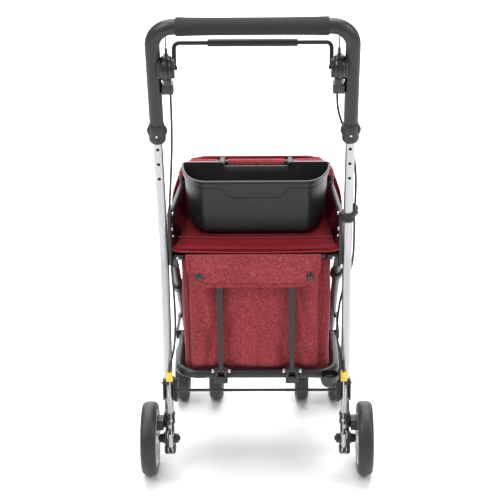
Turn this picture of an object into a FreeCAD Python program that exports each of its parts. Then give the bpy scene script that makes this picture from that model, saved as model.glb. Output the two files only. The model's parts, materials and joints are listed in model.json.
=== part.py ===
"""Folding four-wheel shopping walker, modelled in millimetres.

Working frame: X to the user's right, Y in the direction of travel, Z up from the ground, with the
rear axle at Y = 0. Every finished sub-part is then placed so that the origin of the written parts
lies on the ground under the middle of the whole walker.
"""
import FreeCAD, Part
import math
import os

import Sketcher

VECTOR = FreeCAD.Vector
DOC = FreeCAD.newDocument("shopping_walker")

# Driving dimensions: name, value in millimetres or degrees, what it is.
DIMENSIONS = [
    ("axle_y", -135.4, "rear axle from the origin, along the direction of travel"),
    ("post_x", 188, "centre of a rear post from the middle"),
    ("post_radius", 9.5, "outside of the rear post tube"),
    ("post_bore", 7.9, "inside of the rear post tube"),
    ("post_bottom", 52, "lower end of the post, inside the wheel carrier"),
    ("bend_height", 510, "height of the bend in the post"),
    ("bend_radius", 120, "centre line radius of that bend"),
    ("lean_deg", 14.5, "rearward lean of the upper post"),
    ("post_rise", 375, "length of the upper post above the bend"),
    ("hole_pitch", 34, "spacing of the height adjustment holes"),
    ("hole_radius", 3.3, "height adjustment hole"),
    ("button_rise", 292, "locking button above the bend, along the post"),
    ("button_radius", 2.6, "locking button"),
    ("handle_rise", 522, "centre line of the hand grip above the bend, along the post"),
    ("handle_radius", 11, "outside of the handle tube"),
    ("handle_bore", 9.56, "inside of the handle tube, a running fit on the post"),
    ("corner_radius", 40, "centre line radius of the handle's corners"),
    ("cover_radius", 15, "outside of the moulded leg cover"),
    ("grip_radius", 16.5, "outside of the foam grip"),
    ("grip_half", 143, "half the length of the foam grip"),
    ("collar_rise", 272, "lower end of the collar above the bend, along the post"),
    ("collar_length", 40, "height of the collar"),
    ("collar_radius", 17, "outside of the collar"),
    ("lever_rise", 435, "brake lever pivot above the bend, along the post"),
    ("lever_radius", 25, "outside of the brake lever housing"),
    ("bar_height", 977, "centre line of the brake bar above the ground"),
    ("bar_y", -100, "centre line of the brake bar, along the direction of travel"),
    ("bar_x", 148.5, "arm of the brake bar from the middle"),
    ("bar_radius", 4.25, "brake bar rod"),
    ("bar_grip_radius", 7.5, "sleeve on the brake bar"),
    ("bar_grip_half", 85, "half the length of that sleeve"),
    ("wheel_radius", 80, "rear wheel over the tyre"),
    ("wheel_inner_x", 215, "inner face of the rear tyre from the middle"),
    ("wheel_width", 33, "width of the rear tyre"),
    ("rim_radius", 62, "rear rim under the tyre"),
    ("drum_radius", 52, "inside of the brake ring on the rear rim"),
    ("axle_radius", 4, "rear and front axles"),
    ("running_gap", 0.05, "radial clearance of a turning fit"),
    ("fold_y", 8, "main folding pivot, along the direction of travel"),
    ("fold_height", 500, "main folding pivot above the ground"),
    ("leg_x", 170, "centre of a front leg from the middle"),
    ("leg_radius", 8.5, "front leg tube"),
    ("cross_y", 375, "front cross tube and caster stems, along the direction of travel"),
    ("cross_height", 165, "front cross tube above the ground"),
    ("caster_x", 141, "caster stem from the middle"),
    ("caster_trail", 22, "caster axle behind its stem"),
    ("caster_radius", 65, "front wheel over the tyre"),
    ("caster_inner", 24, "inner face of a front wheel from the caster stem"),
    ("caster_width", 32, "width of a front tyre"),
    ("base_height", 236, "centre line of the base hoop above the ground"),
    ("base_x", 166, "side of the base hoop from the middle"),
    ("base_radius", 10, "base hoop tube"),
    ("base_corner", 38, "centre line radius of the base hoop's corners"),
    ("base_pivot_y", 297.2, "base hoop pivot on the front legs, along the direction of travel"),
    ("strut_x", 75, "seat strut from the middle"),
    ("strut_foot_y", -13, "lower pivot of a seat strut, along the direction of travel"),
    ("strut_foot_height", 248, "lower pivot of a seat strut above the ground"),
    ("strut_top_y", -8, "upper end of a seat strut, along the direction of travel"),
    ("strut_top_height", 488, "upper end of a seat strut above the ground"),
    ("rail_x", 156, "side of the seat rail from the middle"),
    ("rail_radius", 5, "seat rail tube"),
    ("rail_height", 503, "seat rail above the ground"),
    ("hinge_y", 185, "seat hinge on the front of the rail, along the direction of travel"),
    ("seat_half", 166, "half the width of the seat cushion at its rear"),
    ("seat_taper", 7.5, "how much narrower the seat cushion's front is on each side"),
    ("seat_back_y", -18, "rear edge of the seat cushion, along the direction of travel"),
    ("seat_front_y", 176, "front edge of the seat cushion, along the direction of travel"),
    ("seat_bottom", 512, "underside of the seat cushion above the ground"),
    ("seat_top", 531, "top of the seat cushion above the ground"),
    ("bag_half", 154, "half the width of the shopping bag"),
    ("bag_wall", 4, "thickness of the bag's padded walls"),
    ("bag_bottom", 228, "bottom of the shopping bag above the ground"),
    ("bag_top", 490, "upper edge of the shopping bag above the ground"),
    ("bag_back_y", 20, "rear wall of the shopping bag, along the direction of travel"),
    ("hoop_x", 174, "side of the bag hoop from the middle, at the posts"),
    ("hoop_taper", 13, "how much narrower the bag hoop's far end is on each side"),
    ("hoop_radius", 6.5, "bag hoop tube"),
    ("hoop_side_height", 584, "side bars of the bag hoop above the ground"),
    ("hoop_top_height", 634, "top bar of the bag hoop above the ground"),
    ("hoop_y", 220, "upright part of the bag hoop, along the direction of travel"),
    ("arch_half", 190, "half the width of the arched bag top"),
    ("arch_top", 638, "top of the arched bag top above the ground"),
    ("basket_bottom", 533, "underside of the basket above the ground"),
    ("basket_top", 650, "rim of the basket above the ground"),
    ("basket_wall", 3, "wall of the basket"),
    ("cup_radius", 20, "cane cup over its rim"),
    ("cable_radius", 2.4, "brake cable over its sheath"),
    ("wire_radius", 1, "bare brake wire"),
]


class Size:
    """A number together with the spreadsheet formula that it comes from."""

    def __init__(self, number, formula):
        self.number = float(number)
        self.formula = formula

    @staticmethod
    def of(value):
        return value if isinstance(value, Size) else Size(value, f"({value:.6g})")

    def combined(self, other, sign, number):
        return Size(number, f"({self.formula} {sign} {Size.of(other).formula})")

    def __add__(self, other):
        return self.combined(other, "+", self.number + Size.of(other).number)

    def __sub__(self, other):
        return self.combined(other, "-", self.number - Size.of(other).number)

    def __mul__(self, other):
        return self.combined(other, "*", self.number * Size.of(other).number)

    def __truediv__(self, other):
        return self.combined(other, "/", self.number / Size.of(other).number)

    def __radd__(self, other):
        return Size.of(other) + self

    def __rsub__(self, other):
        return Size.of(other) - self

    def __rmul__(self, other):
        return Size.of(other) * self

    def __neg__(self):
        return Size.of(0) - self


class Dims:
    """The spreadsheet's named dimensions, each read as a Size."""

    def __init__(self):
        sheet = DOC.addObject("Spreadsheet::Sheet", "Dims")
        for row, (name, value, note) in enumerate(DIMENSIONS, start=1):
            sheet.set(f"A{row}", name)
            sheet.set(f"B{row}", str(value))
            sheet.set(f"C{row}", note)
            sheet.setAlias(f"B{row}", name)
            setattr(self, name, Size(value, f"Dims.{name}"))


D = Dims()
DOC.recompute()
PARTS = []


def number(value):
    return Size.of(value).number


def point(x, y, z):
    return VECTOR(number(x), number(y), number(z))


def sine(angle):
    return Size(math.sin(math.radians(angle.number)), f"sin({angle.formula} * 1deg)")


def cosine(angle):
    return Size(math.cos(math.radians(angle.number)), f"cos({angle.formula} * 1deg)")


LEAN_SIN = sine(D.lean_deg)
LEAN_COS = cosine(D.lean_deg)


def on_post(rise, forward=0):
    """Y and Z of a place on the leaning upper post: its rise along the post, and its offset square to it."""
    return (
        LEAN_COS * forward - LEAN_SIN * rise,
        D.bend_height + LEAN_COS * rise + LEAN_SIN * forward,
    )


# ---- building blocks ----


def place(item, at, turn=None):
    """Bind an item's position to the sheet and turn it."""
    if turn is not None:
        item.Placement = FreeCAD.Placement(VECTOR(), turn)
    for axis, value in zip("xyz", at):
        item.setExpression(f"Placement.Base.{axis}", Size.of(value).formula)
    return item


def block(low, high):
    """A box between two corners."""
    item = DOC.addObject("Part::Box", "block")
    for side, a, b in zip(("Length", "Width", "Height"), low, high):
        item.setExpression(side, (Size.of(b) - a).formula)
    return place(item, low)


def leaning_block(x, forward, rise):
    """A box in line with the upper post, given by its ranges across, forward and along the post."""
    item = DOC.addObject("Part::Box", "leaning_block")
    for side, (a, b) in zip(("Length", "Width", "Height"), (x, forward, rise)):
        item.setExpression(side, (Size.of(b) - a).formula)
    turn = FreeCAD.Rotation(VECTOR(1, 0, 0), D.lean_deg.number)
    return place(item, (x[0], *on_post(rise[0], forward[0])), turn)


def rod(start, along, length, radius, end_radius=None):
    """A round rod, or a cone where it has a second radius, from a point in a direction."""
    item = DOC.addObject("Part::Cone" if end_radius else "Part::Cylinder", "rod")
    if end_radius:
        item.setExpression("Radius1", Size.of(radius).formula)
        item.setExpression("Radius2", Size.of(end_radius).formula)
    else:
        item.setExpression("Radius", Size.of(radius).formula)
    item.setExpression("Height", Size.of(length).formula)
    return place(item, start, FreeCAD.Rotation(VECTOR(0, 0, 1), VECTOR(*along)))


def rod_across(x_low, x_high, y, z, radius):
    """A rod parallel to X."""
    return rod((x_low, y, z), (1, 0, 0), Size.of(x_high) - x_low, radius)


def post_rod(side, rise, length, radius, end_radius=None):
    """A rod on the centre line of the leaning upper post."""
    along = (0, -LEAN_SIN.number, LEAN_COS.number)
    return rod((side * D.post_x, *on_post(rise)), along, length, radius, end_radius)


def join(*items):
    item = DOC.addObject("Part::MultiFuse", "join")
    item.Shapes = list(items)
    return item


def shared(first, second):
    item = DOC.addObject("Part::Common", "shared")
    item.Base = first
    item.Tool = second
    return item


def cut(base, *tools):
    item = DOC.addObject("Part::Cut", "cut")
    item.Base = base
    item.Tool = tools[0] if len(tools) == 1 else join(*tools)
    return item


def group(*items):
    item = DOC.addObject("Part::Compound", "group")
    item.Links = list(items)
    return item


def rounded(item, radius, chosen):
    """Fillet the edges of an item that a test picks."""
    DOC.recompute()
    result = DOC.addObject("Part::Fillet", "rounded")
    result.Base = item
    edges = [n for n, edge in enumerate(item.Shape.Edges, start=1) if chosen(edge)]
    result.Edges = [(n, number(radius), number(radius)) for n in edges]
    return result


def bent_wire(points, radii):
    """Straight runs through points, joined by tangent arcs of the given radii."""
    edges = []
    last = points[0]
    for before, corner, after, radius in zip(points, points[1:], points[2:], radii):
        back = (before - corner).normalize()
        ahead = (after - corner).normalize()
        half = back.getAngle(ahead) / 2
        reach = radius / math.tan(half)
        middle = (back + ahead).normalize()
        centre = corner + middle * (radius / math.sin(half))
        start = corner + back * reach
        end = corner + ahead * reach
        edges.append(Part.LineSegment(last, start).toShape())
        edges.append(Part.Arc(start, centre - middle * radius, end).toShape())
        last = end
    edges.append(Part.LineSegment(last, points[-1]).toShape())
    return Part.Wire(edges)


def tube(route, radius, radii=(), bore=None):
    """A round tube or solid rod along a route of points."""
    points = [point(*p) for p in route]
    spine = DOC.addObject("Part::Feature", "spine")
    spine.Shape = bent_wire(points, [number(r) for r in radii])
    turn = FreeCAD.Rotation(VECTOR(0, 0, 1), points[1] - points[0])
    sweeps = []
    for size in (radius, bore):
        if size is None:
            continue
        circle = DOC.addObject("Part::Circle", "section")
        circle.setExpression("Radius", Size.of(size).formula)
        circle.Placement = FreeCAD.Placement(points[0], turn)
        sweep = DOC.addObject("Part::Sweep", "sweep")
        sweep.Sections = [circle]
        sweep.Spine = (spine, [f"Edge{n + 1}" for n in range(len(spine.Shape.Edges))])
        sweep.Solid = True
        sweep.Frenet = False
        sweeps.append(sweep)
    return sweeps[0] if bore is None else cut(*sweeps)


def body_sketch(body, plane, corners, offset=0):
    """A closed outline of straight sides in a body, every corner bound to the sheet."""
    sketch = body.newObject("Sketcher::SketchObject", "outline")
    origin_plane = [f for f in body.Origin.OriginFeatures if f.Role == plane][0]
    sketch.AttachmentSupport = [(origin_plane, "")]
    sketch.MapMode = "FlatFace"
    sketch.setExpression("AttachmentOffset.Base.z", Size.of(offset).formula)
    flat = [VECTOR(number(a), number(b), 0) for a, b in corners]
    for start, end in zip(flat, flat[1:] + flat[:1]):
        sketch.addGeometry(Part.LineSegment(start, end), False)
    count = len(corners)
    for n in range(count):
        sketch.addConstraint(Sketcher.Constraint("Coincident", n, 2, (n + 1) % count, 1))
    for n, corner in enumerate(corners):
        for kind, value in zip(("DistanceX", "DistanceY"), corner):
            made = sketch.addConstraint(Sketcher.Constraint(kind, -1, 1, n, 1, number(value)))
            sketch.setExpression(f"Constraints[{made}]", Size.of(value).formula)
    return sketch


def new_body():
    return DOC.addObject("PartDesign::Body", "body")


def turned(corners):
    """A body turned about the X axis from an outline of (x, radius) corners."""
    body = new_body()
    sketch = body_sketch(body, "XY_Plane", corners)
    turn = body.newObject("PartDesign::Revolution", "turned")
    turn.Profile = sketch
    turn.ReferenceAxis = (sketch, ["H_Axis"])
    turn.Angle = 360
    return body


def plate(plane, corners, low, high):
    """A body of even thickness between two distances from one of its origin planes."""
    body = new_body()
    sketch = body_sketch(body, plane, corners, low)
    pad = body.newObject("PartDesign::Pad", "pad")
    pad.Profile = sketch
    pad.setExpression("Length", (Size.of(high) - low).formula)
    return body


def pocket(body, plane, corners, low, high):
    """Cut an even-depth outline out of a body, and make sure that it removed something."""
    DOC.recompute()
    before = body.Shape.Volume
    sketch = body_sketch(body, plane, corners, high)
    hole = body.newObject("PartDesign::Pocket", "pocket")
    hole.Profile = sketch
    hole.setExpression("Length", (Size.of(high) - low).formula)
    DOC.recompute()
    if body.Shape.Volume >= before:
        raise RuntimeError("a pocket removed nothing")
    return hole


def fillet(body, radius, chosen):
    """Round the edges of a body that a test picks."""
    DOC.recompute()
    tip = body.Tip
    edges = [f"Edge{n}" for n, e in enumerate(tip.Shape.Edges, start=1) if chosen(e)]
    feature = body.newObject("PartDesign::Fillet", "fillet")
    feature.Base = (tip, edges)
    feature.setExpression("Radius", Size.of(radius).formula)
    body.Tip = feature
    return feature


def is_along(edge, direction):
    """True for a straight edge in a direction."""
    if len(edge.Vertexes) != 2 or edge.Curve.TypeId != "Part::GeomLine":
        return False
    line = (edge.Vertexes[1].Point - edge.Vertexes[0].Point).normalize()
    return abs(line.dot(VECTOR(*direction))) > 0.999


def finish(name, item):
    """Name a finished sub-part and stand it in the walker's own frame."""
    item.Label = name
    bound = [formula for path, formula in item.ExpressionEngine if path == ".Placement.Base.y"]
    standing = f"{bound[0]} + Dims.axle_y" if bound else "Dims.axle_y"
    item.setExpression("Placement.Base.y", standing)
    PARTS.append(item)
    return item


def side_name(side):
    return "left" if side < 0 else "right"


def side_range(side, low, high):
    """A range of X on one side, lowest first."""
    return (low, high) if side > 0 else (-high, -low)


# ---- rear frame ----


def make_post(side):
    """Bent rear post with its height adjustment holes facing the user."""
    x = side * D.post_x
    route = [(x, 0, D.post_bottom), (x, 0, D.bend_height), (x, *on_post(D.post_rise))]
    post = tube(route, D.post_radius, [D.bend_radius], D.post_bore)
    away = (0, -LEAN_COS.number, -LEAN_SIN.number)
    holes = []
    for step in range(4):
        rise = D.button_rise - D.hole_pitch * step
        holes.append(rod((x, *on_post(rise)), away, D.post_radius + 4, D.hole_radius))
    axle = rod_across(x - 12, x + 12, 0, D.wheel_radius, D.axle_radius)
    finish(f"post_{side_name(side)}", cut(post, axle, *holes))


def make_side_plates():
    """Plates inside the posts that carry the folding pivot, the seat rail and the bag hoop."""
    outline = [(-8, 486), (34, 486), (34, 606), (-20, 606), (-8, 520)]
    plates = []
    for side in (-1, 1):
        body = plate("YZ_Plane", outline, *side_range(side, 171.2, 178.4))
        fillet(body, 5, lambda e: is_along(e, (1, 0, 0)))
        stud = rod_across(*side_range(side, 162.8, 172), D.fold_y, D.fold_height, 4)
        head = rod_across(*side_range(side, 158.6, 162.8), D.fold_y, D.fold_height, 7)
        plates.append(join(body, stud, head))
    finish("side_plates", group(*plates))


def make_seat_rail():
    """Tube frame that the seat rests on and hinges about."""
    rear_y = 26
    stub = 171.2
    z = D.rail_height
    route = [
        (-stub, rear_y, z), (-D.rail_x, rear_y, z), (-D.rail_x, D.hinge_y, z),
        (D.rail_x, D.hinge_y, z), (D.rail_x, rear_y, z), (stub, rear_y, z),
    ]
    finish("seat_rail", group(tube(route, D.rail_radius, [8, 18, 18, 8], D.rail_radius - 1.2)))


def make_bag_hoop():
    """Tube hoop that holds the bag's top open and carries the basket."""
    wide, narrow, y = D.hoop_x, D.hoop_x - D.hoop_taper, D.hoop_y
    low, high = D.hoop_side_height, D.hoop_top_height
    right = [(wide, 34, low), (wide, 48, low), (narrow, y, low), (narrow, y, high)]
    route = right + [(-a, b, c) for a, b, c in reversed(right)]
    bends = [40, 10, 30, 30, 10, 40]
    finish("bag_hoop", group(tube(route, D.hoop_radius, bends, D.hoop_radius - 1.2)))


def make_post_brackets():
    """Moulded brackets low on the posts, with arms that hold the cross rod and the base hoop."""
    brackets = []
    for side in (-1, 1):
        body = block(
            (side_range(side, 174, 200)[0], -14, 170), (side_range(side, 174, 200)[1], 14, 225)
        )
        body = rounded(body, 4, lambda e: is_along(e, (0, 0, 1)))
        arm = block(
            (side_range(side, 158, 178)[0], -11, 178), (side_range(side, 158, 178)[1], 9, 225)
        )
        ear = block(
            (side_range(side, 160, 171)[0], -9, 170), (side_range(side, 160, 171)[1], 7, 190)
        )
        post = rod((side * D.post_x, 0, 160), (0, 0, 1), 75, D.post_radius)
        rod_hole = rod_across(*side_range(side, 150, 177), -2, 197, 3)
        brackets.append(cut(join(body, arm, ear), post, rod_hole))
    finish("post_brackets", group(*brackets))


def make_cross_rod():
    """Thin rod that ties the two post brackets together."""
    finish("cross_rod", group(rod_across(-177, 177, -2, 197, 3)))


def make_cable_clips():
    """Coloured clips that stop the brake cables on the posts."""
    clips = []
    for side in (-1, 1):
        low, high = side_range(side, 177.6, 191.6)
        body = rounded(block((low, -20, 226), (high, -7, 246)), 2, lambda e: is_along(e, (0, 0, 1)))
        post = rod((side * D.post_x, 0, 220), (0, 0, 1), 30, D.post_radius)
        cable = rod((side * 184, -15, 234), (0, 0, 1), 20, D.cable_radius)
        wire = rod((side * 184, -16.6, 220), (0, 0, 1), 20, D.wire_radius + 0.3)
        clips.append(cut(body, post, cable, wire))
    finish("cable_clips", group(*clips))


def make_wheel_carrier(side):
    """Housing on the post's foot that holds the rear axle and the brake shoe."""
    low, high = side_range(side, 175.5, 200.5)
    body = rounded(block((low, -15, 45), (high, 17, 150)), 5, lambda e: is_along(e, (0, 0, 1)))
    boss = rod_across(*side_range(side, 169, 212.5), 0, D.wheel_radius, 11)
    shoulder = block(
        (side_range(side, 197, 200.5)[0], 8, 100), (side_range(side, 197, 200.5)[1], 30, 128)
    )
    pin = rod_across(*side_range(side, 199, 212), 20, 114, 3)
    post = rod((side * D.post_x, 0, D.post_bottom), (0, 0, 1), 120, D.post_radius)
    window = block(
        (side_range(side, 178, 184)[0], -20, 122), (side_range(side, 178, 184)[1], -12.5, 132)
    )
    wire_hole = rod((side * 184, -20, 58), (0, 1, 0), 10, D.wire_radius)
    axle = rod_across(*side_range(side, 165, 220), 0, D.wheel_radius, D.axle_radius)
    carrier = cut(join(body, boss, shoulder, pin), post, window, wire_hole, axle)
    finish(f"wheel_carrier_{side_name(side)}", carrier)


def make_rear_axles():
    """Rear axle bolts, each with its head on the inner side."""
    axles = []
    for side in (-1, 1):
        bolt = rod_across(*side_range(side, 166, 245), 0, D.wheel_radius, D.axle_radius)
        head = rod_across(*side_range(side, 163, 169), 0, D.wheel_radius, 7)
        axles.append(join(bolt, head))
    finish("rear_axles", group(*axles))


def make_frame_bolts():
    """Rivets in the side plates and screws in the post brackets."""
    heads = []
    for side in (-1, 1):
        for y, z in ((-7, 566), (19, 590), (20, 540)):
            heads.append(rod_across(*side_range(side, 168.4, 171.2), y, z, 3.6))
        heads.append(rod_across(*side_range(side, 200, 204), -4, 216, 4.2))
    finish("frame_bolts", group(*heads))


def cable_route_left():
    """Sheath from the left brake lever, down inside the post, to its clip."""
    return [
        (-158, -95.6, 879.5), (-158.5, -83, 828), (-160, -69, 776), (-163.5, -55, 722),
        (-168, -42, 668), (-172.5, -30.5, 614), (-174.5, -23, 560), (-173.5, -19.5, 506),
        (-170.5, -17.5, 452), (-168.5, -16, 398), (-168.5, -13.5, 345), (-173.5, -13.5, 295),
        (-184, -15, 259), (-184, -15, 234),
    ]


def cable_route_right():
    """Sheath from the right brake lever, round the front of the post, to its clip."""
    return [
        (160, -95.6, 878.3), (162, -76, 842), (170, -58, 810), (184, -46, 776),
        (197, -42, 735), (202, -38.5, 690), (202, -33, 645), (200.8, -23, 602),
        (201.5, -12, 558), (202, -1, 516), (199, 10, 478), (190, 16, 446),
        (178, 12.5, 412), (171, 1, 374), (168, -8.5, 334), (174, -13, 294),
        (184, -15, 259), (184, -15, 234),
    ]


def arc_radii(points):
    """The radius of the arc at each inner point of a cable's route."""
    radii = []
    for before, corner, after in zip(points, points[1:], points[2:]):
        turn = math.pi - (before - corner).getAngle(after - corner)
        shorter = min((before - corner).Length, (after - corner).Length)
        radii.append(0.45 * shorter / math.tan(turn / 2))
    return radii


def make_brake_cable(name, route):
    """A sheathed cable, checked against its section times its length."""
    radii = arc_radii([point(*p) for p in route])
    cable = tube(route, D.cable_radius, radii)
    DOC.recompute()
    length = bent_wire([point(*p) for p in route], radii).Length
    expected = math.pi * D.cable_radius.number ** 2 * length
    print(f"{name}: {length:.1f} mm long, smallest radius {min(radii):.1f} mm")
    if abs(cable.Shape.Volume - expected) > 0.01 * expected:
        raise RuntimeError(f"{name} has the wrong volume")
    finish(name, group(cable))


def make_brake_wires():
    """Bare wires from the clips down into the wheel carriers."""
    wires = []
    for side in (-1, 1):
        x = side * 184
        route = [(x, -16.5, 233.5), (x, -18.4, 150), (x, -18.4, 58), (x, -12.5, 58)]
        wires.append(tube(route, D.wire_radius, [200, 3]))
    finish("brake_wires", group(*wires))


def make_cane_clip():
    """Rubber band round the right post, with an open loop that a walking stick snaps into."""
    along = (0, -LEAN_SIN.number, LEAN_COS.number)
    start = on_post(84)
    band = rod((D.post_x, *start), along, 20, 13.5)
    saddle = leaning_block((190, 206), (-9, 9), (84, 104))
    post = rod((D.post_x, *start), along, 20, D.post_radius)
    loop_y, loop_z = on_post(84, 19)
    loop = rod((196, loop_y, loop_z), along, 20, 13)
    stick = rod((196, loop_y, loop_z), along, 20, 10)
    mouth = leaning_block((198, 212), (16, 27), (80, 108))
    below = on_post(70, 0.5)
    cable = rod((200.8, *below), along, 45, D.cable_radius + 1.2)
    plate_space = block((165, -45, 570), (178.6, 45, 640))
    finish("cane_clip", cut(join(band, saddle, loop), post, stick, mouth, cable, plate_space))


# ---- handle ----


def make_handle_tube():
    """One bent tube for both legs and the cross bar, sliding on the posts."""
    x = D.post_x
    foot = D.collar_rise + 4
    right = [(x, *on_post(foot)), (x, *on_post(D.handle_rise))]
    route = right + [(-a, b, c) for a, b, c in reversed(right)]
    corners = [D.corner_radius, D.corner_radius]
    bent = tube(route, D.handle_radius, corners, D.handle_bore)
    away = (0, -LEAN_COS.number, -LEAN_SIN.number)
    holes = [
        rod((side * x, *on_post(D.button_rise)), away, 20, D.button_radius + D.running_gap)
        for side in (-1, 1)
    ]
    finish("handle_tube", cut(bent, *holes))


def make_leg_covers():
    """Moulded covers over the legs and corners of the handle tube."""
    covers = []
    for side in (-1, 1):
        x = side * D.post_x
        route = [
            (x, *on_post(D.collar_rise + D.collar_length)), (x, *on_post(D.handle_rise)),
            (side * D.grip_half, *on_post(D.handle_rise)),
        ]
        cover = tube(route, D.cover_radius, [D.corner_radius], D.handle_radius)
        covers.append(cut(cover, corner_screw(side), cable_lead(side)))
    finish("leg_covers", group(*covers))


def corner_screw(side):
    """A screw at a corner of the handle, facing the user."""
    away = (0, -LEAN_COS.number, -LEAN_SIN.number)
    return rod((side * 166, *on_post(D.handle_rise - 5, -14)), away, 2.2, 3.4)


def cable_lead(side):
    """The thin lead between a barrel adjuster and the handle's corner."""
    along = (0, -LEAN_SIN.number, LEAN_COS.number)
    return rod((side * 162.5, *on_post(D.lever_rise + 41)), along, 29.5, 1.3)


def adjuster_barrel(side):
    """The barrel screwed into the top of a lever housing."""
    along = (0, -LEAN_SIN.number, LEAN_COS.number)
    return rod((side * 162.5, *on_post(D.lever_rise + 22)), along, 19, 3)


def make_foam_grip():
    """Foam sleeve on the cross bar."""
    y, z = on_post(D.handle_rise)
    outer = rod_across(-D.grip_half, D.grip_half, y, z, D.grip_radius)
    inner = rod_across(-D.grip_half, D.grip_half, y, z, D.handle_radius)
    foam = cut(outer, inner)
    finish("foam_grip", foam)


def make_collars():
    """Locking collars at the lower ends of the handle's legs."""
    collars = []
    for side in (-1, 1):
        x = side * D.post_x
        foot = post_rod(side, D.collar_rise, 8, 12.5, D.collar_radius)
        wall = post_rod(side, D.collar_rise + 8, D.collar_length - 8, D.collar_radius)
        lobes = []
        for out in (-1, 1):
            low, high = sorted((number(x) + out * 12, number(x) + out * 20))
            lobes.append(
                leaning_block((low, high), (-6.5, 6.5), (D.collar_rise + 14, D.collar_rise + 34))
            )
        bore = post_rod(side, D.collar_rise, D.collar_length, D.handle_bore)
        seat = post_rod(side, D.collar_rise + 4, D.collar_length, D.handle_radius)
        away = (0, -LEAN_COS.number, -LEAN_SIN.number)
        hole = rod(
            (x, *on_post(D.button_rise)), away, 30, D.button_radius + D.running_gap
        )
        collars.append(cut(join(foot, wall, *lobes), bore, seat, hole))
    finish("collars", group(*collars))


def make_lock_button(side):
    """Sprung button that locks the handle's height."""
    away = (0, -LEAN_COS.number, -LEAN_SIN.number)
    start = on_post(D.button_rise, -10)
    stem = rod((side * D.post_x, *start), away, 7, D.button_radius)
    crown = rod(
        (side * D.post_x, *on_post(D.button_rise, -17)), away, 1.2, D.button_radius, 1.4
    )
    finish(f"lock_button_{side_name(side)}", join(stem, crown))


def make_lever_housing(side):
    """Housing clamped inside a leg that holds the brake bar's pivot and the cable's end."""
    y, z = on_post(D.lever_rise)
    drum = rod_across(*side_range(side, 153.2, 173), y, z, D.lever_radius)
    saddle = leaning_block(
        side_range(side, 164, 188), (-13, 13), (D.lever_rise - 20, D.lever_rise + 20)
    )
    cheek = leaning_block(
        side_range(side, 153.2, 166), (-16, 16), (D.lever_rise - 34, D.lever_rise)
    )
    foot = leaning_block(
        side_range(side, 151, 173), (-11, 13), (D.lever_rise - 53, D.lever_rise - 31)
    )
    leg = post_rod(side, D.lever_rise - 70, 140, D.cover_radius)
    bore = rod_across(
        *side_range(side, 150, 164), y, z, D.bar_radius + D.running_gap
    )
    housing = cut(join(drum, saddle, cheek, foot), leg, bore, adjuster_barrel(side))
    finish(f"lever_housing_{side_name(side)}", housing)


def make_cable_adjusters():
    """Barrel adjusters and short leads between the handle's corners and the lever housings."""
    adjusters = [join(adjuster_barrel(side), cable_lead(side)) for side in (-1, 1)]
    finish("cable_adjusters", group(*adjusters))


def make_handle_screws():
    """Screws that fasten the covers at the handle's corners."""
    finish("handle_screws", group(corner_screw(-1), corner_screw(1)))


def make_brake_bar():
    """Bent rod across both levers, with a hub and a pivot at each end."""
    y, z = on_post(D.lever_rise)
    x = D.bar_x
    right = [(x, y, z), (x, D.bar_y, D.bar_height)]
    route = right + [(-a, b, c) for a, b, c in reversed(right)]
    pieces = [tube(route, D.bar_radius, [10, 10])]
    for side in (-1, 1):
        pieces.append(rod_across(*side_range(side, 147.4, 152.8), y, z, 20))
        pieces.append(rod_across(*side_range(side, 150, 163), y, z, D.bar_radius))
        pieces.append(rod_across(*side_range(side, 142.5, 148), y, z, 4))
    finish("brake_bar", join(*pieces))


def make_bar_grip():
    """Sleeve that the fingers pull."""
    outer = rod_across(-D.bar_grip_half, D.bar_grip_half, D.bar_y, D.bar_height, D.bar_grip_radius)
    inner = rod_across(-D.bar_grip_half, D.bar_grip_half, D.bar_y, D.bar_height, D.bar_radius)
    finish("bar_grip", cut(outer, inner))


def make_brake_shoe(side):
    """Shoe on the carrier's pin that presses on the ring inside the rear rim."""
    low, high = side_range(side, 201.2, 223)
    body = block((low, -14, 106), (high, 26, 134))
    face = rod_across(low, high, 0, D.wheel_radius, D.drum_radius - 1.4)
    pin = rod_across(low, high, 20, 114, 3 + D.running_gap)
    finish(f"brake_shoe_{side_name(side)}", cut(shared(body, face), pin))


# ---- rear wheels ----


def make_rear_wheel(side):
    """Tyre, spoked rim with its brake ring, and hub cap."""
    inner, width = D.wheel_inner_x, D.wheel_width
    outer = inner + width
    shoulder = 7
    tyre = turned([
        (side * inner, D.rim_radius), (side * outer, D.rim_radius),
        (side * outer, D.wheel_radius - shoulder),
        (side * (outer - shoulder), D.wheel_radius), (side * (inner + shoulder), D.wheel_radius),
        (side * inner, D.wheel_radius - shoulder),
    ])
    crown = D.wheel_radius.number - 0.1
    fillet(tyre, 4.5, lambda e: e.BoundBox.ZMax > crown or e.BoundBox.ZMax == 73)
    name = side_name(side)
    place_wheel(finish(f"rear_tyre_{name}", tyre))
    web, hub = 228, 213.5
    bore = D.axle_radius + D.running_gap
    rim = turned([
        (side * hub, bore), (side * 245.5, bore), (side * 245.5, 13), (side * (web + 2.5), 15),
        (side * (web + 2.5), D.rim_radius - 8), (side * (outer - 2), D.rim_radius - 5),
        (side * (outer - 2), D.rim_radius), (side * (inner + 2), D.rim_radius),
        (side * (inner + 2), D.drum_radius + 4), (side * (inner + 0.5), D.drum_radius + 4),
        (side * (inner + 0.5), D.drum_radius), (side * (web - 2.5), D.drum_radius),
        (side * (web - 2.5), 15), (side * hub, 11),
    ])
    cut_spoke_windows(rim, *side_range(side, web - 6, web + 6))
    place_wheel(finish(f"rear_rim_{name}", rim))
    cap = turned([
        (side * 245.8, 0), (side * 250, 0), (side * 250, 9), (side * 248, 14), (side * 245.8, 14),
    ])
    place_wheel(finish(f"hub_cap_{name}", cap))


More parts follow.
